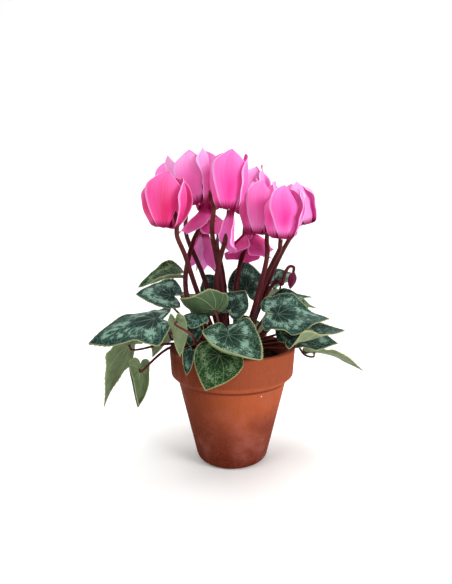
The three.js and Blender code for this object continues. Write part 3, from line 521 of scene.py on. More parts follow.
def vein_pattern(tree):
    """The blade's flat map in centimetres, its reach from stalk to margin, how far a point is off the
    nearest main vein, the main veins, which fan from the stalk, and the fine net between them."""
    polar = add(tree, "UVMap", uv_map="polar")
    flat = add(tree, "UVMap", uv_map="flat")
    split = add(tree, "SeparateXYZ", {0: polar})
    reach = split.outputs["Y"]
    side = add(tree, "Math", {0: split.outputs["X"], 1: 2.0, 2: -1.0}, operation="MULTIPLY_ADD")
    turn = add(tree, "Math", {0: side}, operation="ABSOLUTE")
    squared = add(tree, "Math", {0: reach, 1: 2.0}, operation="POWER")
    fanned = add(tree, "Math", {0: squared, 1: VEIN_SWEEP, 2: turn}, operation="MULTIPLY_ADD")
    count = add(tree, "Math", {0: fanned, 1: VEIN_SPACING}, operation="DIVIDE")
    off_vein = add(tree, "Math", {0: count, 1: 0.5}, operation="PINGPONG")
    away = add(tree, "Math", {0: off_vein, 1: reach}, operation="MULTIPLY")
    main = add(tree, "MapRange", {"Value": away, "From Min": 0.026, "From Max": 0.008},
               interpolation_type="SMOOTHSTEP")
    # Meshes about 4 mm wide
    bend = add(tree, "TexNoise", {"Vector": flat, "Scale": 1.6, "Detail": 2.0})
    bent = add(tree, "VectorMath", {0: flat, 1: bend.outputs["Color"]}, operation="ADD")
    net = add(tree, "TexVoronoi", {"Vector": bent, "Scale": 2.6}, feature="DISTANCE_TO_EDGE")
    fine = add(tree, "MapRange", {"Value": net, "From Min": 0.06, "From Max": 0.015},
               interpolation_type="SMOOTHSTEP")
    return polar, flat, reach, off_vein, main, fine


def marbled_leaf(name, heart, zone, silver, margin, band, strength, vein_strength):
    """Cyclamen leaf, upper side: a waxy, leathery dark green. Air under its skin makes a silver band,
    broken into feathery blotches beside the veins; the veins and the thin margin are a little paler."""
    material, tree = start_material(name, {"Roughness": 0.48, "IOR": 1.45, "Specular IOR Level": 0.14})
    polar, flat, reach, off_vein, main, fine = vein_pattern(tree)
    # Clouds 7 mm across, blotches 9 mm across, and feathered strokes 2 mm wide that run outwards
    clouds = add(tree, "TexNoise", {"Vector": flat, "Scale": 1.5, "Detail": 5.0, "Roughness": 0.65})
    blotches = add(tree, "TexNoise", {"Vector": flat, "Scale": 1.1, "Detail": 1.0, "Roughness": 0.5})
    drawn = add(tree, "Mapping", {"Vector": polar, "Scale": (96, 6, 1)})
    strokes = add(tree, "TexNoise", {"Vector": drawn, "Scale": 1.0, "Detail": 3.0, "Roughness": 0.65})
    # The band's two borders wander with the clouds and the strokes, and bulge along the veins.
    moved = reach
    for value, amount in ((clouds, 0.3), (strokes, 0.3), (off_vein, -0.2)):
        moved = add(tree, "Math", {0: value, 1: amount, 2: moved}, operation="MULTIPLY_ADD")
    inner, outer = (border + BAND_WANDER for border in band)
    inside = add(tree, "MapRange", {"Value": moved, "From Min": inner, "From Max": inner + BAND_FADE},
                 interpolation_type="SMOOTHSTEP")
    outside = add(tree, "MapRange", {"Value": moved, "From Min": outer + BAND_FADE, "From Max": outer},
                  interpolation_type="SMOOTHSTEP")
    feathered = add(tree, "Math", {0: strokes, 1: 1.15, 2: blotches}, operation="MULTIPLY_ADD")
    broken = add(tree, "MapRange", {"Value": feathered, "From Min": 1.04, "From Max": 1.18,
                                    "To Min": 0.05 * strength, "To Max": strength},
                 interpolation_type="SMOOTHSTEP")
    silvered = add(tree, "Math", {0: inside, 1: outside}, operation="MULTIPLY")
    silvered = add(tree, "Math", {0: silvered, 1: broken}, operation="MULTIPLY")
    outwards = add(tree, "MapRange", {"Value": reach, "From Min": 0.15, "From Max": 0.6},
                   interpolation_type="SMOOTHSTEP")
    netted = add(tree, "Math", {0: fine, 1: outwards}, operation="MULTIPLY")
    netted = add(tree, "Math", {0: netted, 1: 1.3 * vein_strength}, operation="MULTIPLY")
    ribbed = add(tree, "Math", {0: main, 1: vein_strength}, operation="MULTIPLY")
    veins = add(tree, "Math", {0: netted, 1: ribbed}, operation="MAXIMUM")
    sunk = add(tree, "Math", {0: fine, 1: 0.6}, operation="MULTIPLY")
    sunk = add(tree, "Math", {0: sunk, 1: main}, operation="MAXIMUM")
    raised = add(tree, "Math", {0: 1.0, 1: sunk}, operation="SUBTRACT")
    return finish_material(material, heart, [
        (outwards, 0, 1, 1, zone, EVENLY),
        (clouds, 0.4, 0.65, 0.7, heart, EVENLY),
        (veins, 0, 1, 1, silver, EVENLY),
        (silvered, 0, 1, 1, silver, EVENLY),
        (reach, 0.955, 0.99, 0.7, margin, EVENLY),
    ], raised, 0.5, 0.6)


def leaf_underside(name, body, cloud, margin):
    """Cyclamen leaf, lower side: dull sage green without wax, with its veins standing out."""
    material, tree = start_material(name, {"Roughness": 0.62, "IOR": 1.42, "Specular IOR Level": 0.3})
    _, flat, reach, _, main, fine = vein_pattern(tree)
    clouds = add(tree, "TexNoise", {"Vector": flat, "Scale": 1.2, "Detail": 4.0})
    raised = add(tree, "Math", {0: fine, 1: 0.4}, operation="MULTIPLY")
    raised = add(tree, "Math", {0: raised, 1: main}, operation="MAXIMUM")
    return finish_material(material, body, [
        (clouds, 0.35, 0.68, 1, cloud, EVENLY),
        (fine, 0, 1, 0.22, "#587350", EVENLY),
        (main, 0, 1, 0.6, "#AEBB90", EVENLY),
        (reach, 0.93, 0.98, 0.6, margin, EVENLY),
    ], raised, 0.6, 0.7)


def leaf_edge(margin):
    """The blade's thin horny margin, smooth and pale, a little greener in places."""
    material, tree = start_material("leaf_margin", {"Roughness": 0.5, "IOR": 1.42})
    flat = add(tree, "UVMap", uv_map="flat")
    clouds = add(tree, "TexNoise", {"Vector": flat, "Scale": 3.0})
    return finish_material(material, margin, [(clouds, 0, 1, 1, "#8E9A5E", EVENLY)], clouds, 0.1, 0.3)


def petal_skin(name, middle, body, pale, margin, throat):
    """Cyclamen petal: thin tissue with a silky shine that glows where light comes through, deep magenta
    at the mouth, with fine lengthwise veins, and paler towards its edges and along a thin margin."""
    material, tree = start_material(name, {
        "Roughness": 0.55, "IOR": 1.4, "Specular IOR Level": 0.2, "Subsurface Weight": 0.5,
        "Subsurface Scale": 0.002, "Subsurface Radius": (1.0, 0.35, 0.65)})
    petal = add(tree, "UVMap", uv_map="petal")
    place = add(tree, "TexCoord").outputs["Object"]
    split = add(tree, "SeparateXYZ", {0: petal})
    share = split.outputs["Y"]
    side = add(tree, "Math", {0: split.outputs["X"], 1: 2.0, 2: -1.0}, operation="MULTIPLY_ADD")
    across = add(tree, "Math", {0: side}, operation="ABSOLUTE")
    # Veins 1 mm apart and as long as the petal
    drawn = add(tree, "Mapping", {"Vector": petal, "Scale": (26, 1.6, 1)})
    veins = add(tree, "TexNoise", {"Vector": drawn, "Scale": 1.0, "Detail": 3.0})
    # Clouds 40 mm across, so that no two petals are alike
    clouds = add(tree, "TexNoise", {"Vector": place, "Scale": 24.0, "Detail": 1.0})
    # The middle's colour fades outwards, and ragged veins carry the throat's colour up from the mouth.
    spread = add(tree, "Math", {0: veins, 1: -0.5, 2: across}, operation="MULTIPLY_ADD")
    ragged = add(tree, "Math", {0: veins, 1: -0.16, 2: share}, operation="MULTIPLY_ADD")
    return finish_material(material, middle, [
        (spread, -0.2, 0.55, 1, body),
        (share, 0.4, 1.0, 0.65, pale),
        (clouds, 0.35, 0.7, 0.5, pale),
        (veins, 0.45, 0.7, 0.25, middle, EVENLY),
        (across, 0.82, 0.99, 0.75, margin, GENTLY),
        (ragged, 0.17, 0.02, 1, throat),
    ], veins, 0.3, 0.5)


def stigma_tip():
    """The style that shows in the mouth: smooth, pale and waxy, with a grain of 1 mm."""
    material, tree = start_material("pale_stigma", {"Roughness": 0.4, "IOR": 1.42})
    place = add(tree, "TexCoord").outputs["Object"]
    grain = add(tree, "TexNoise", {"Vector": place, "Scale": 900.0})
    return finish_material(material, "#F2D9E2", [(grain, 0, 1, 1, "#E0AFC6", EVENLY)], grain, 0.1, 0.3)


def studio_paper(stage):
    """Studio paper: pale and matt, with no edge between floor and wall. A light table under it gives
    it a faint glow, which softens the shadows."""
    material, _ = start_material("studio_paper", {
        "Roughness": 0.95, "Specular IOR Level": 0.1, "Base Color": tuple(stage.backdrop),
        "Emission Color": tuple(stage.backdrop), "Emission Strength": 0.07})
    return material


# Shaping

def finish_piece(name, bm, materials, replaced, smooth=True):
    """Write the mesh in metres, join it to the frame's body, and hide the frame pieces that it replaces."""
    bmesh.ops.scale(bm, vec=(MM, MM, MM), verts=bm.verts)
    mesh = bpy.data.meshes.new(name)
    bm.to_mesh(mesh)
    bm.free()
    for material in materials:
        mesh.materials.append(material)
    for polygon in mesh.polygons:
        polygon.use_smooth = smooth
    piece = bpy.data.objects.new(name, mesh)
    bpy.context.collection.objects.link(piece)
    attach(piece, BODY)
    if replaced:
        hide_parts(*replaced)
    return piece


def lay_sheet(bm, columns, rows, place, maps):
    """Lay a grid and move each point to place(u, v), with u from -1 to 1 and v from 0 to 1."""
    made = bmesh.ops.create_grid(bm, x_segments=columns, y_segments=rows, size=1)
    grid = {vert: (vert.co.x, (vert.co.y + 1) / 2) for vert in made["verts"]}
    faces = {face for vert in made["verts"] for face in vert.link_faces}
    for layer, write in maps:
        for face in faces:
            for loop in face.loops:
                loop[layer].uv = write(*grid[loop.vert])
    for vert, (u, v) in grid.items():
        vert.co = place(u, v)
    return made["verts"], faces


def thicken(piece, thickness, offset=0.0):
    """Give a sheet its thickness, inwards where the offset is -1 and to both sides where it is 0."""
    shell = piece.modifiers.new("thickness", "SOLIDIFY")
    shell.thickness = thickness * MM
    shell.offset = offset
    return shell


def smooth_route(points):
    """Points along a centripetal Catmull-Rom curve, with its ends kept."""
    padded = [points[0] * 2 - points[1], *points, points[-1] * 2 - points[-2]]
    route = []
    for i in range(1, len(padded) - 2):
        p0, p1, p2, p3 = padded[i - 1:i + 3]
        d0, d1, d2 = (max(1e-4, (b - a).length ** 0.5) for a, b in ((p0, p1), (p1, p2), (p2, p3)))
        leave = ((p1 - p0) / d0 - (p2 - p0) / (d0 + d1) + (p2 - p1) / d1) * d1
        arrive = ((p2 - p1) / d1 - (p3 - p1) / (d1 + d2) + (p3 - p2) / d2) * d1
        for step in range(STALK_STEPS):
            t = step / STALK_STEPS
            route.append(p1 + leave * t + (p1 * -3 + p2 * 3 - leave * 2 - arrive) * t ** 2
                         + (p1 * 2 - p2 * 2 + leave + arrive) * t ** 3)
    route.append(points[-1])
    return route


def shares_along(route):
    """How far along the route each point lies, from 0 to 1."""
    lengths = [0.0]
    for a, b in zip(route, route[1:]):
        lengths.append(lengths[-1] + (b - a).length)
    return [length / lengths[-1] for length in lengths]


def sweep_stalk(bm, route, radii, sides):
    """Extrude a circle along a route, turning and narrowing it on the way."""
    ahead = (route[1] - route[0]).normalized()
    start = Matrix.Translation(route[0]) @ ahead.to_track_quat("Z", "Y").to_matrix().to_4x4()
    ring = bmesh.ops.create_circle(bm, cap_ends=True, segments=sides, radius=radii[0], matrix=start)["verts"]
    cap = ring[0].link_faces[0]
    cap.normal_update()
    if cap.normal.dot(ahead) > 0:
        cap.normal_flip()
    edges = list(cap.edges)
    for i in range(1, len(route)):
        made = bmesh.ops.extrude_edge_only(bm, edges=edges)["geom"]
        verts = [item for item in made if isinstance(item, bmesh.types.BMVert)]
        following = route[min(i + 1, len(route) - 1)] - route[i - 1]
        turn = ahead.rotation_difference(following.normalized())
        ahead = following.normalized()
        grow = radii[i] / radii[i - 1]
        move = (Matrix.Translation(route[i]) @ turn.to_matrix().to_4x4() @ Matrix.Scale(grow, 4)
                @ Matrix.Translation(-route[i - 1]))
        bmesh.ops.transform(bm, matrix=move, verts=verts)
        inside = set(verts)
        edges = [item for item in made if isinstance(item, bmesh.types.BMEdge)
                 and item.verts[0] in inside and item.verts[1] in inside]
    bmesh.ops.contextual_create(bm, geom=edges)


def crown_point(radius, azimuth):
    """A point of the tuber's top, a little under its skin."""
    drop = math.sqrt(1 - (radius / TUBER_RADIUS) ** 2)
    height = TUBER_HEIGHT + TUBER_HALF_HEIGHT * drop - CROWN_SINK
    return Vector((radius * math.cos(azimuth), radius * math.sin(azimuth), height))


class LeafForm:
    """The curved surface of one leaf blade, from its place, its outline and its bends."""

    def __init__(self, leaf, quilting=0.0):
        self.base = Vector(leaf["base"])
        chord = Vector(leaf["tip"]) - self.base
        self.along = chord.normalized()
        face = Vector(leaf["face"])
        self.up = (face - self.along * face.dot(self.along)).normalized()
        self.side = self.along.cross(self.up)
        self.arch = math.radians(leaf.get("arch", 20))
        self.length = chord.length * (self.arch / 2) / math.sin(self.arch / 2)
        self.spread = leaf.get("spread", 0.58)
        self.width = leaf.get("width", 1)
        self.curl = [math.radians(angle) for angle in leaf.get("curl", (15, 15))]
        self.ripple = leaf.get("ripple", 0.03)
        self.sweep = leaf.get("sweep", 0)
        self.phase = sum(map(ord, leaf["name"])) % 7
        self.quilting = quilting
        self.crinkle = CRINKLE * quilting
        self.roll = leaf.get("roll") if quilting else None

    def rim(self, share):
        """The margin's distance from the stalk in lengths, at a share of half a turn from the tip."""
        tip = (1 - self.spread) * math.exp(-TIP_FADE * share)
        notch = (self.spread - NOTCH_REST) * math.exp(-NOTCH_FADE * (1 - share))
        return self.spread + tip - notch

    def flat(self, angle, reach, tooth=0.0):
        """A point of the blade as if it were pressed flat."""
        rim = self.rim(abs(angle) / math.pi) * (1 + tooth) * self.length
        y = reach * rim * math.cos(angle)
        sweep = self.sweep * self.length * max(0, y / self.length) ** 2
        return reach * rim * math.sin(angle) * self.width + sweep, y

    def rolled(self, angle, reach):
        """What is left of the reach where the margin rolls over, and how high the roll stands there."""
        if not self.roll:
            return reach, 0.0
        middle, half_width, depth, turn = self.roll
        depth *= max(0.0, 1 - ((math.degrees(angle) - middle) / half_width) ** 2)
        bent = (reach - 1 + depth) * ROLL_TURN / max(depth, 0.001)
        if depth < 0.01 or bent <= 0:
            return reach, 0.0
        radius = depth / ROLL_TURN
        height = radius * (1 - math.cos(bent)) * self.rim(abs(angle) / math.pi) * self.length
        return 1 - depth + radius * math.sin(bent), turn * height

    def point(self, angle, reach, tooth=0.0):
        """A point of the bent blade: arched, curled, rippled, quilted, crinkled and rolled."""
        reach, roll_height = self.rolled(angle, reach)
        x, y = self.flat(angle, reach, tooth)
        bend = self.arch * (y / self.length - 0.5)
        radius = self.length / self.arch
        half = self.rim(0.5) * self.length * self.width
        curl = self.curl[0] if x < 0 else self.curl[1]
        turn = curl * x / half
        lift = (1 - math.cos(turn)) * half / curl
        lift += self.ripple * self.length * reach ** 2 * math.sin(5 * angle)
        lift += 0.25 * self.ripple * self.length * reach ** 4 * math.sin(13 * angle + self.phase)
        count = (abs(angle) / math.pi + VEIN_SWEEP * reach ** 2) / VEIN_SPACING
        lift += self.quilting * self.length * reach * (1 - 0.5 * reach) * math.sin(math.pi * count) ** 2
        lift += self.crinkle * self.length * reach ** 3 * math.sin(4 * angle + 2 * self.phase + 3 * reach)
        lift += roll_height
        normal = self.along * math.sin(bend) + self.up * math.cos(bend)
        return (self.base + self.along * radius * (math.sin(bend) + math.sin(self.arch / 2))
                + self.up * radius * (math.cos(bend) - math.cos(self.arch / 2))
                + self.side * (math.sin(turn) * half / curl) + normal * lift)

    def normal_at_base(self):
        """The way the upper side looks where the stalk joins."""
        return self.up * math.cos(self.arch / 2) - self.along * math.sin(self.arch / 2)


def leaf_angle(u):
    """The angle from the tip of a column from -1 to 1. Columns crowd at the tip and at the notch."""
    return math.pi * (u - 0.5 * math.sin(2 * math.pi * u) / (2 * math.pi))


def leaf_stalk_route(leaf):
    """From the tuber's crown, past the pot's rim where the leaf hangs outside, to the blade."""
    form = LeafForm(leaf)
    seat = form.point(0, 0)
    down = -form.normal_at_base()
    foot = crown_point(CROWN_RADIUS, math.atan2(seat.y, seat.x))
    rise = Vector((foot.x * 1.35, foot.y * 1.35, foot.z + 9))
    end = seat + down * 0.2
    neck = seat + down * (LEAF_THICKNESS / 2 + 0.55 + leaf.get("neck", 8))
    via = [Vector(point) for point in leaf.get("via", [])]
    distance = math.hypot(seat.x, seat.y)
    if not via and distance >= OVERHANG_RADIUS and seat.z <= OVERHANG_HEIGHT:
        share = RIM_PASS_RADIUS / distance
        via = [Vector((seat.x * share, seat.y * share, RIM_PASS_HEIGHT))]
    return smooth_route([foot, rise, *via, neck, end])


def bloom_place(bloom):
    """The turn and move from a bloom's own axes to its place on the plant."""
    angle, azimuth = (math.radians(value) for value in bloom["lean"])
    axis = Vector((-math.sin(azimuth), math.cos(azimuth), 0))
    return Matrix.Translation(bloom["mouth"]) @ Matrix.Rotation(angle, 4, axis)


def ring_point(azimuth, radius, height):
    """A point on a ring round the vertical axis."""
    return Vector((radius * math.cos(azimuth), radius * math.sin(azimuth), height))


def flower_stalk_route(bloom):
    """Up from the tuber, past the flower's mouth, and over in a hook to the calyx."""
    place = bloom_place(bloom)
    side = math.radians(bloom["stalk_side"])
    hook = [place @ ring_point(side, out * bloom.get("stalk_reach", 1), height)
            for out, height in bloom.get("hook", FLOWER_HOOK)]
    foot = crown_point(bloom["root"][0], math.radians(bloom["root"][1]))
    return smooth_route([foot, *map(Vector, bloom["climb"]), *hook])


class BloomForm:
    """The five petals and the tube of one flower, in the flower's own axes."""

    def __init__(self, bloom, look):
        self.bloom = bloom
        self.length = look.petal_length * bloom.get("size", 1)
        self.half_width = look.petal_half_width * bloom.get("width", 1)
        self.shoulder = bloom.get("shoulder", PETAL_SHOULDER)
        self.ruffle = look.ruffle
        self.rows = {}
        self.seed = sum(map(ord, bloom["name"]))

    def half_width_at(self, share):
        """Half of a petal's width at a share of its length."""
        outline = PETAL_FULLNESS * share ** PETAL_NARROWING * max(0.0, 1 - share) ** PETAL_POINT
        outline *= 1 - PETAL_TIP * smooth_step(share, 0.78, 1)
        shoulder = self.shoulder * smooth_step(share, 0.02, 0.12) * (1 - smooth_step(share, 0.15, 0.55))
        return self.half_width * (outline + PETAL_CLAW * (1 - share) + shoulder)

    def stands(self, index):
        """Whether a petal is swept back so far that it stands."""
        return self.bloom["reflex"][index] > 90

    def midline(self, index, share):
        """Radius, height and heading of a petal's middle, summed in small steps from the mouth."""
        key = (index, round(share, 5))
        if key not in self.rows:
            reflex = math.radians(self.bloom["reflex"][index])
            length, closing = self.length * self.bloom.get("hanging", 1), 0.0
            if self.stands(index):
                length, closing = self.length, math.radians(self.bloom.get("closing", PETAL_CLOSING))
            radius, height = MOUTH_RADIUS, 0.0

            def heading(part):
                return reflex * smooth_step(part * length, -1, PETAL_BEND_LENGTH) + closing * part ** 1.5

            for i in range(PETAL_STEPS):
                angle = heading(share * (i + 0.5) / PETAL_STEPS)
                radius += math.sin(angle) * share * length / PETAL_STEPS
                height -= math.cos(angle) * share * length / PETAL_STEPS
            self.rows[key] = (radius, height, heading(share))
        return self.rows[key]

    def petal_point(self, index, across, share):
        """A point of a petal, from its middle at 0 to its edges at -1 and 1, and along its length."""
        radius, height, angle = self.midline(index, share)
        azimuth = math.radians(self.bloom["spin"] + 360 / PETALS * index)
        out = Vector((math.cos(azimuth), math.sin(azimuth), 0))
        tangent = Vector((-math.sin(azimuth), math.cos(azimuth), 0))
        normal = out * math.cos(angle) + Vector((0, 0, math.sin(angle)))
        offset = across * self.half_width_at(share)
        settled = smooth_step(share, 0, 0.14)
        hanging_twist = self.bloom.get("hanging_twist", PETAL_TWIST)
        twist = math.radians(PETAL_TWIST if self.stands(index) else hanging_twist) * settled
        turn = -math.cos(angle) * PETAL_WRAP * offset / radius
        lateral = offset * (1 - turn ** 2 / 6)
        inward = offset * turn * (1 - turn ** 2 / 12) / 2
        own = self.seed + 2.1 * index
        free_end = smooth_step(share, 0.2, 1)
        lateral += PETAL_SWAY * (0.3 + math.sin(own)) * free_end
        inward += PETAL_BOW * math.sin(1.7 * own + 3 * share) * free_end
        inward += PETAL_CHANNEL * math.exp(-(across / 0.22) ** 2) * free_end * (1 - share)
        wave = math.sin(7.5 * share + own + 1.2 * across) + 0.5 * math.sin(17 * share - 2 * own - 2 * across)
        inward += self.ruffle * wave * across ** 2 * smooth_step(share, 0.15, 0.5)
        free = (out * radius + Vector((0, 0, height))
                + tangent * (lateral * math.cos(twist) - inward * math.sin(twist))
                + normal * (lateral * math.sin(twist) + inward * math.cos(twist)))
        rim = ring_point(azimuth + across * math.pi / PETALS, MOUTH_RADIUS, 0)
        return rim.lerp(free, settled)

    def tube_point(self, around, down):
        """The domed tube, from its pole where down is 0 to the mouth where down is 1."""
        spin = math.radians(self.bloom["spin"])
        azimuth = spin - math.pi / PETALS + math.pi * (around + 1)
        radius = MOUTH_RADIUS * math.sin(min(1.0, down * 1.12) * math.pi / 2) ** 0.7
        height = TUBE_HEIGHT * (1 - down ** 2.4)
        lobes = 1 - 0.05 * math.cos(PETALS * (azimuth - spin)) * math.sin(math.pi * down)
        return ring_point(azimuth, radius * lobes, height)


# Operators

class CYCLAMEN_OT_pot(bpy.types.Operator):
    """Spin the clay pot from its profile"""
    bl_idname = "cyclamen.pot"
    bl_label = "Clay Pot"

    def execute(self, context):
        pot = context.scene.cyclamen_pot
        lean = math.atan2(WALL_TOP_RADIUS - pot.foot_radius, WALL_TOP_HEIGHT)
        centre = pot.foot_radius - FOOT_ROUNDING * math.tan((math.pi / 2 - lean) / 2)
        profile = [(DRAIN_RADIUS, 0)]
        for i in range(9):
            angle = -math.pi / 2 + (math.pi / 2 - lean) * i / 8
            profile.append((centre + FOOT_ROUNDING * math.cos(angle),
                            FOOT_ROUNDING + FOOT_ROUNDING * math.sin(angle)))
        wall = [(WALL_TOP_RADIUS, WALL_TOP_HEIGHT), (BAND_FOOT_RADIUS, BAND_FOOT_HEIGHT),
                (pot.rim_radius, pot.height)]
        profile += wall
        profile += [(radius - pot.wall, height) for radius, height in reversed(wall)]
        profile += [(pot.foot_radius - 3, FLOOR_HEIGHT + 3), (pot.foot_radius - 6, FLOOR_HEIGHT),
                    (DRAIN_RADIUS, FLOOR_HEIGHT)]
        bm = bmesh.new()
        verts = [bm.verts.new((radius, 0, height)) for radius, height in profile]
        edges = [bm.edges.new((a, b)) for a, b in zip(verts, verts[1:] + verts[:1])]
        bmesh.ops.spin(bm, geom=verts + edges, cent=(0, 0, 0), axis=(0, 0, 1), angle=2 * math.pi,
                       steps=128, use_merge=True)
        bmesh.ops.remove_doubles(bm, verts=bm.verts, dist=0.001)
        bmesh.ops.recalc_face_normals(bm, faces=bm.faces)
        sharp = [edge for edge in bm.edges if edge.is_manifold and edge.calc_face_angle(0) > 0.35]
        bmesh.ops.bevel(bm, geom=sharp, offset=1.3, offset_type="OFFSET", affect="EDGES", segments=4,
                        profile=0.5, material=-1, clamp_overlap=True)
        # A thrown or pressed pot is never quite true, so its wall wanders by a few tenths of a millimetre.
        for vert in bm.verts:
            out = Vector((vert.co.x, vert.co.y, 0)).normalized()
            if vert.co.z > 2:
                vert.co += out * 0.25 * noise.noise(vert.co * 0.03)
        finish_piece("clay_pot", bm, [terracotta(pot)], ["pot"])
        return {"FINISHED"}


class CYCLAMEN_OT_soil(bpy.types.Operator):
    """Lay a crumbly crust on the soil"""
    bl_idname = "cyclamen.soil"
    bl_label = "Soil"

    def execute(self, context):
        mix = potting_mix()
        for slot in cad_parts["soil"].material_slots:
            slot.material = mix
        draw = random.Random(11)

        def crust(u, v):
            radius = CRUST_INNER + (CRUST_OUTER - CRUST_INNER) * v
            angle = math.pi * u
            x, y = radius * math.cos(angle), radius * math.sin(angle)
            lump = 1.3 * (math.sin(0.31 * x + 1.2) * math.cos(0.27 * y) + 0.6 * math.sin(0.19 * (x - y)))
            fine = noise.noise(Vector((x, y, 0)) * 0.35) + 0.6 * noise.noise(Vector((x, y, 9)) * 0.9)
            return Vector((x, y, CRUST_HEIGHT + lump + 1.1 * fine))

        bm = bmesh.new()
        lay_sheet(bm, 160, 24, crust, [])
        bmesh.ops.remove_doubles(bm, verts=bm.verts, dist=0.01)
        top = finish_piece("soil_crust", bm, [mix], [])
        thicken(top, 0.8, -1)
        bm = bmesh.new()
        for _ in range(CRUMBS):
            radius = CRUST_INNER + 1 + (CRUST_OUTER - CRUST_INNER - 3) * math.sqrt(draw.random())
            angle = draw.uniform(0, 2 * math.pi)
            x, y = radius * math.cos(angle), radius * math.sin(angle)
            seat = crust(angle / math.pi, (radius - CRUST_INNER) / (CRUST_OUTER - CRUST_INNER))
            size = draw.uniform(0.5, 1.5)
            turn = Matrix.Rotation(draw.uniform(0, 6.3), 4, Vector((draw.random(), draw.random(), 1)))
            stretch = (size * draw.uniform(0.8, 1.8), size, size * draw.uniform(0.5, 0.9), 1)
            shape = Matrix.Translation((x, y, seat.z + size * 0.2)) @ turn @ Matrix.Diagonal(stretch)
            made = bmesh.ops.create_icosphere(bm, subdivisions=1, radius=1, matrix=shape)
            for vert in made["verts"]:
                vert.co += Vector([draw.uniform(-0.2, 0.2) * size for _ in range(3)])
        finish_piece("soil_crumbs", bm, [mix], [], smooth=False)
        return {"FINISHED"}


class CYCLAMEN_OT_tuber(bpy.types.Operator):
    """Model the corky tuber, half sunk in the soil"""
    bl_idname = "cyclamen.tuber"
    bl_label = "Tuber"

    def execute(self, context):
        bm = bmesh.new()
        shape = (Matrix.Translation((0, 0, TUBER_HEIGHT))
                 @ Matrix.Diagonal((TUBER_RADIUS, TUBER_RADIUS, TUBER_HALF_HEIGHT, 1)))
        bmesh.ops.create_uvsphere(bm, u_segments=56, v_segments=30, radius=1, matrix=shape)
        for vert in bm.verts:
            out = (vert.co - Vector((0, 0, TUBER_HEIGHT))).normalized()
            vert.co += out * (0.7 * noise.noise(vert.co * 0.12) + 0.3 * noise.noise(vert.co * 0.4))
        finish_piece("tuber", bm, [corky_skin()], ["tuber_and_stalks"])
        return {"FINISHED"}


class CYCLAMEN_OT_leaf_stalks(bpy.types.Operator):
    """Sweep a thin stalk from the tuber to each leaf"""
    bl_idname = "cyclamen.leaf_stalks"
    bl_label = "Leaf Stalks"

    def execute(self, context):
        bm = bmesh.new()
        for leaf in LEAVES:
            route = leaf_stalk_route(leaf)
            radii = [LEAF_STALK_FOOT + (LEAF_STALK_END - LEAF_STALK_FOOT) * share
                     for share in shares_along(route)]
            sweep_stalk(bm, route, radii, 10)
        skin = stalk_skin("leaf_stalk_skin", "#4E121A", "#6E3C34", 0.11, 0.175, 0.5)
        finish_piece("leaf_stalks", bm, [skin], ["tuber_and_stalks"])
        return {"FINISHED"}


class CYCLAMEN_OT_flower_stalks(bpy.types.Operator):
    """Sweep a fleshy hooked stalk from the tuber to each flower"""
    bl_idname = "cyclamen.flower_stalks"
    bl_label = "Flower Stalks"

    def execute(self, context):
        bm = bmesh.new()
        stalks = [(bloom, FLOWER_STALK_FOOT, 1, 14) for bloom in BLOOMS] + [(BUD, BUD_STALK_FOOT, 0.8, 12)]
        for bloom, foot, narrowing, sides in stalks:
            route = flower_stalk_route(bloom)
            radii = [foot - narrowing * (1 - math.sqrt(1 - share)) for share in shares_along(route)]
            sweep_stalk(bm, route, radii, sides)
        skin = stalk_skin("flower_stalk_skin", "#480A16", "#6C382C", 0.19, 0.27, 0.5)
        finish_piece("flower_stalks", bm, [skin], ["tuber_and_stalks"])
        return {"FINISHED"}


class CYCLAMEN_OT_calyces(bpy.types.Operator):
    """Seat a calyx of five sepals on each flower's tube"""
    bl_idname = "cyclamen.calyces"
    bl_label = "Calyces"

    def execute(self, context):
        bm = bmesh.new()
        for bloom in BLOOMS:
            middle = Matrix.Translation((0, 0, CALYX_SEAT + CALYX_HEIGHT / 2))
            made = bmesh.ops.create_cone(bm, cap_ends=True, segments=30, radius1=CALYX_FOOT,
                                         radius2=CALYX_NECK, depth=CALYX_HEIGHT, matrix=middle)
            for vert in made["verts"]:
                angle = math.atan2(vert.co.y, vert.co.x)
                tooth = 0.8 + 0.2 * math.cos(5 * angle)
                vert.co.x *= tooth
                vert.co.y *= tooth
            bmesh.ops.transform(bm, matrix=bloom_place(bloom), verts=made["verts"])
        skin = stalk_skin("sepal_skin", "#5A2A26", "#6E4030", 0.2, 0.28, 0.55)
        finish_piece("calyces", bm, [skin], ["tuber_and_stalks"], smooth=False)
        return {"FINISHED"}


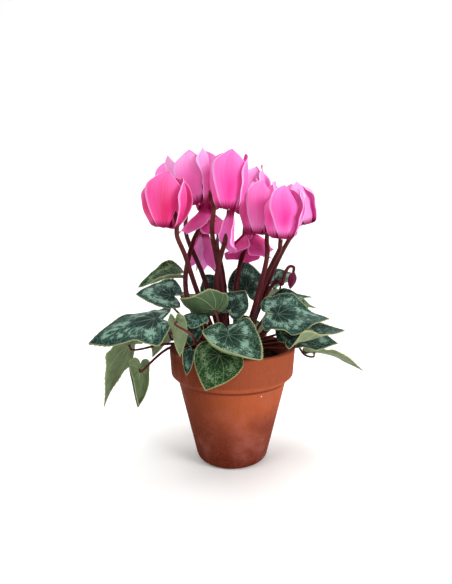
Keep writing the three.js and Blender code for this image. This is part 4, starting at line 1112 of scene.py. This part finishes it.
class CYCLAMEN_OT_leaves(bpy.types.Operator):
    """Model each leaf blade over its frame piece"""
    bl_idname = "cyclamen.leaves"
    bl_label = "Leaves"

    def execute(self, context):
        look = context.scene.cyclamen_leaves
        silver, margin = look.silver, look.margin
        flecks = linear("#A0BE8E")
        # The colours of the heart, the zone round it, the band and the margin, the band's two borders as
        # shares of the reach, and how strongly the band and the veins show
        looks = {
            "silver": ("leaf_silver_marbled", "#0B2620", "#183D32", silver, margin, (0.38, 0.76), 0.74, 0.24),
            "dark": ("leaf_dark_marbled", "#0A201B", "#153228", silver, margin, (0.44, 0.68), 0.55, 0.22),
            "green": ("leaf_green_flecked", "#0A240A", "#16380F", flecks, margin, (0.52, 0.74), 0.3, 0.26),
            "heart": ("leaf_heart_marbled", "#0E281B", "#1D4029", silver, margin, (0.42, 0.72), 0.8, 0.28),
            "star": ("leaf_star_veined", "#0E2922", "#1D3E32", silver, margin, (0.34, 0.5), 0.5, 0.6),
        }
        uppers = {name: marbled_leaf(*values) for name, values in looks.items()}
        unders = {
            "pale": leaf_underside("leaf_underside_sage", "#7D8D66", "#687A53", margin),
            # Painted shade: a darker copy of the underside, for a leaf whose lower side lies in shadow
            "shaded": leaf_underside("leaf_underside_painted_shade", "#506644", "#3F5537", margin),
        }
        edge = leaf_edge(margin)
        for leaf in LEAVES:
            form = LeafForm(leaf, look.quilting)
            bm = bmesh.new()
            polar = bm.loops.layers.uv.new("polar")
            flat = bm.loops.layers.uv.new("flat")

            def place(u, v):
                column = round((u + 1) * LEAF_COLUMNS / 2)
                tooth = (look.teeth if column % 2 else -look.teeth) if v > 0.999 else 0.0
                return form.point(leaf_angle(u), v, tooth)

            def flat_cm(u, v):
                x, y = form.flat(leaf_angle(u), v)
                return x / 10 + form.phase, y / 10

            lay_sheet(bm, LEAF_COLUMNS, LEAF_ROWS, place, [
                (polar, lambda u, v: (leaf_angle(u) / math.pi / 2 + 0.5, v)), (flat, flat_cm)])
            bmesh.ops.remove_doubles(bm, verts=bm.verts, dist=0.002)
            bm.normal_update()
            middle = min(bm.faces, key=lambda face: (face.calc_center_median() - form.point(0, 0.2)).length)
            if middle.normal.dot(form.normal_at_base()) < 0:
                bmesh.ops.reverse_faces(bm, faces=bm.faces)
            sides = [uppers[leaf["look"]], unders[leaf.get("under", "pale")], edge]
            piece = finish_piece(f"{leaf['name']}_blade", bm, sides, [leaf["name"]])
            shell = thicken(piece, look.blade)
            shell.material_offset = 1
            shell.material_offset_rim = 2
        return {"FINISHED"}


class CYCLAMEN_OT_blooms(bpy.types.Operator):
    """Model each flower's tube and five petals over its frame piece"""
    bl_idname = "cyclamen.blooms"
    bl_label = "Flowers"

    def execute(self, context):
        look = context.scene.cyclamen_blooms
        # The colours of a petal's middle, its body, its paler end and its margin
        pinks = {
            "hot": ("#C60850", "#E83088", "#F778C0", "#FFB4E4"),
            "bright": ("#EA3092", "#F862B8", "#FE90D4", "#FFC4EE"),
            "soft": ("#F04CA4", "#FA74C0", "#FF9CDA", "#FFCAF0"),
            "pale": ("#F06CB8", "#F88CD0", "#FDB0E2", "#FFD0F2"),
            "deep": ("#C41C74", "#E43F9C", "#F270BC", "#FDAADC"),
        }
        skins = {name: petal_skin(f"petal_{name}_pink", *colours, look.throat)
                 for name, colours in pinks.items()}
        for bloom in BLOOMS:
            form = BloomForm(bloom, look)
            bm = bmesh.new()
            layer = bm.loops.layers.uv.new("petal")
            for index in range(PETALS):
                lay_sheet(bm, PETAL_COLUMNS, PETAL_ROWS, lambda u, v: form.petal_point(index, u, v),
                          [(layer, lambda u, v: (u / 2 + 0.5, v))])
            lay_sheet(bm, PETALS * PETAL_COLUMNS, TUBE_ROWS, form.tube_point,
                      [(layer, lambda u, v: (0.5, 0.02 * v))])
            bmesh.ops.remove_doubles(bm, verts=bm.verts, dist=0.02)
            bmesh.ops.transform(bm, matrix=bloom_place(bloom), verts=bm.verts)
            route = flower_stalk_route(bloom)[-STALK_ROOM_POINTS:]
            for vert in bm.verts:
                nearest = min(route, key=lambda point: (point - vert.co).length_squared)
                away = vert.co - nearest
                if 0 < away.length < STALK_ROOM:
                    vert.co = nearest + away * (STALK_ROOM / away.length)
            skin = skins[bloom["look"]]
            piece = finish_piece(f"{bloom['name']}_petals", bm, [skin], [bloom["name"]])
            thicken(piece, look.petal_thickness)
        bm = bmesh.new()
        for bloom in BLOOMS:
            made = bmesh.ops.create_cone(bm, cap_ends=True, segments=10, radius1=STYLE_END,
                                         radius2=STYLE_ROOT, depth=STYLE_LENGTH,
                                         matrix=Matrix.Translation((0, 0, STYLE_MIDDLE)))["verts"]
            made += bmesh.ops.create_uvsphere(bm, u_segments=10, v_segments=6, radius=STIGMA_RADIUS,
                                              matrix=Matrix.Translation((0, 0, STIGMA_MIDDLE)))["verts"]
            bmesh.ops.transform(bm, matrix=bloom_place(bloom), verts=made)
        finish_piece("stigmas", bm, [stigma_tip()], [])
        return {"FINISHED"}


class CYCLAMEN_OT_bud(bpy.types.Operator):
    """Model the closed bud with its petals rolled round each other"""
    bl_idname = "cyclamen.bud"
    bl_label = "Bud"

    def execute(self, context):
        look = context.scene.cyclamen_blooms
        skin = petal_skin("petal_closed_bud", "#4A0C28", "#64143A", "#842850", "#9A4068", look.throat)
        bm = bmesh.new()
        layer = bm.loops.layers.uv.new("petal")

        def place(u, v):
            depth = BUD_LENGTH * v
            swell = math.sin(math.pi * min(1.0, v ** 0.75)) ** 0.8
            fold = 1 + 0.07 * math.sin(5 * math.pi * u + 5 * v)
            return ring_point(math.pi * u, BUD_RADIUS * swell * fold, -depth)

        lay_sheet(bm, 60, 24, place, [(layer, lambda u, v: (u / 2 + 0.5, 0.3 + 0.4 * v))])
        bmesh.ops.remove_doubles(bm, verts=bm.verts, dist=0.02)
        bmesh.ops.recalc_face_normals(bm, faces=bm.faces)
        bmesh.ops.transform(bm, matrix=bloom_place(BUD), verts=bm.verts)
        finish_piece("bud_petals", bm, [skin], ["bud_right"])
        return {"FINISHED"}


class CYCLAMEN_OT_stage(bpy.types.Operator):
    """Set out the floor, the lights and the camera"""
    bl_idname = "cyclamen.stage"
    bl_label = "Stage"

    def execute(self, context):
        stage = context.scene.cyclamen_stage
        bm = bmesh.new()
        curve = [(PAPER_BEND + PAPER_BEND_RADIUS * math.sin(angle), PAPER_BEND_RADIUS * (1 - math.cos(angle)))
                 for angle in (math.pi / 2 * i / 12 for i in range(13))]
        route = [(PAPER_FRONT, 0), *curve, (PAPER_BEND + PAPER_BEND_RADIUS, PAPER_HEIGHT)]
        verts = [bm.verts.new((-PAPER_HALF_WIDTH, y, z)) for y, z in route]
        edges = [bm.edges.new(pair) for pair in zip(verts, verts[1:])]
        made = bmesh.ops.extrude_edge_only(bm, edges=edges)["geom"]
        far_side = [item for item in made if isinstance(item, bmesh.types.BMVert)]
        bmesh.ops.translate(bm, vec=(2 * PAPER_HALF_WIDTH, 0, 0), verts=far_side)
        bmesh.ops.recalc_face_normals(bm, faces=bm.faces)
        mesh = bpy.data.meshes.new("backdrop")
        bm.to_mesh(mesh)
        bm.free()
        mesh.materials.append(studio_paper(stage))
        for polygon in mesh.polygons:
            polygon.use_smooth = True
        backdrop = bpy.data.objects.new("backdrop", mesh)
        context.collection.objects.link(backdrop)

        for name, (place, aim, size, share) in LIGHTS.items():
            light = bpy.data.lights.new(name, "AREA")
            light.shape = "DISK"
            light.size = size
            light.energy = stage.key_light * share
            lamp = bpy.data.objects.new(name, light)
            lamp.location = place
            lamp.rotation_euler = (Vector(aim) - Vector(place)).to_track_quat("-Z", "Y").to_euler()
            context.collection.objects.link(lamp)

        world = bpy.data.worlds.new("studio")
        world.use_nodes = True
        background = world.node_tree.nodes["Background"]
        background.inputs["Color"].default_value = linear("#FFFFFF")
        background.inputs["Strength"].default_value = 0.3
        context.scene.world = world
        context.scene.view_settings.view_transform = "Standard"

        lens = bpy.data.cameras.new("camera")
        lens.sensor_fit = "VERTICAL"
        lens.sensor_height = 36
        lens.lens = CAMERA_LENS
        lens.shift_x, lens.shift_y = CAMERA_SHIFT
        lens.clip_start = 0.01
        camera = bpy.data.objects.new("camera", lens)
        camera.location = CAMERA_PLACE
        camera.rotation_euler = (math.radians(90 - CAMERA_DOWN), 0, 0)
        context.collection.objects.link(camera)
        context.scene.camera = camera
        return {"FINISHED"}


PIECES = (
    CYCLAMEN_OT_pot, CYCLAMEN_OT_soil, CYCLAMEN_OT_tuber, CYCLAMEN_OT_leaf_stalks,
    CYCLAMEN_OT_flower_stalks, CYCLAMEN_OT_calyces, CYCLAMEN_OT_leaves, CYCLAMEN_OT_blooms,
    CYCLAMEN_OT_bud, CYCLAMEN_OT_stage,
)
GROUPS = {
    "cyclamen_pot": CyclamenPot,
    "cyclamen_leaves": CyclamenLeaves,
    "cyclamen_blooms": CyclamenBlooms,
    "cyclamen_stage": CyclamenStage,
}


class CYCLAMEN_PT_panel(bpy.types.Panel):
    """The cyclamen's pieces, with their sizes and colours"""
    bl_idname = "CYCLAMEN_PT_panel"
    bl_label = "Potted Cyclamen"
    bl_space_type = "VIEW_3D"
    bl_region_type = "UI"
    bl_category = "Cyclamen"

    def draw(self, context):
        for piece in PIECES:
            self.layout.operator(piece.bl_idname)
        for name, group in GROUPS.items():
            box = self.layout.box()
            for prop in group.__annotations__:
                box.prop(getattr(context.scene, name), prop)


def register():
    for group in GROUPS.values():
        bpy.utils.register_class(group)
    for piece in PIECES:
        bpy.utils.register_class(piece)
    bpy.utils.register_class(CYCLAMEN_PT_panel)
    for name, group in GROUPS.items():
        setattr(bpy.types.Scene, name, bpy.props.PointerProperty(type=group))


def unregister():
    for name in GROUPS:
        delattr(bpy.types.Scene, name)
    bpy.utils.unregister_class(CYCLAMEN_PT_panel)
    for made in (*PIECES, *GROUPS.values()):
        bpy.utils.unregister_class(made)


def main():
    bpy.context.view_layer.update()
    register()
    for piece in PIECES:
        group, name = piece.bl_idname.split(".")
        getattr(getattr(bpy.ops, group), name)()
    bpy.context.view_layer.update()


if __name__ == "__main__":
    main()
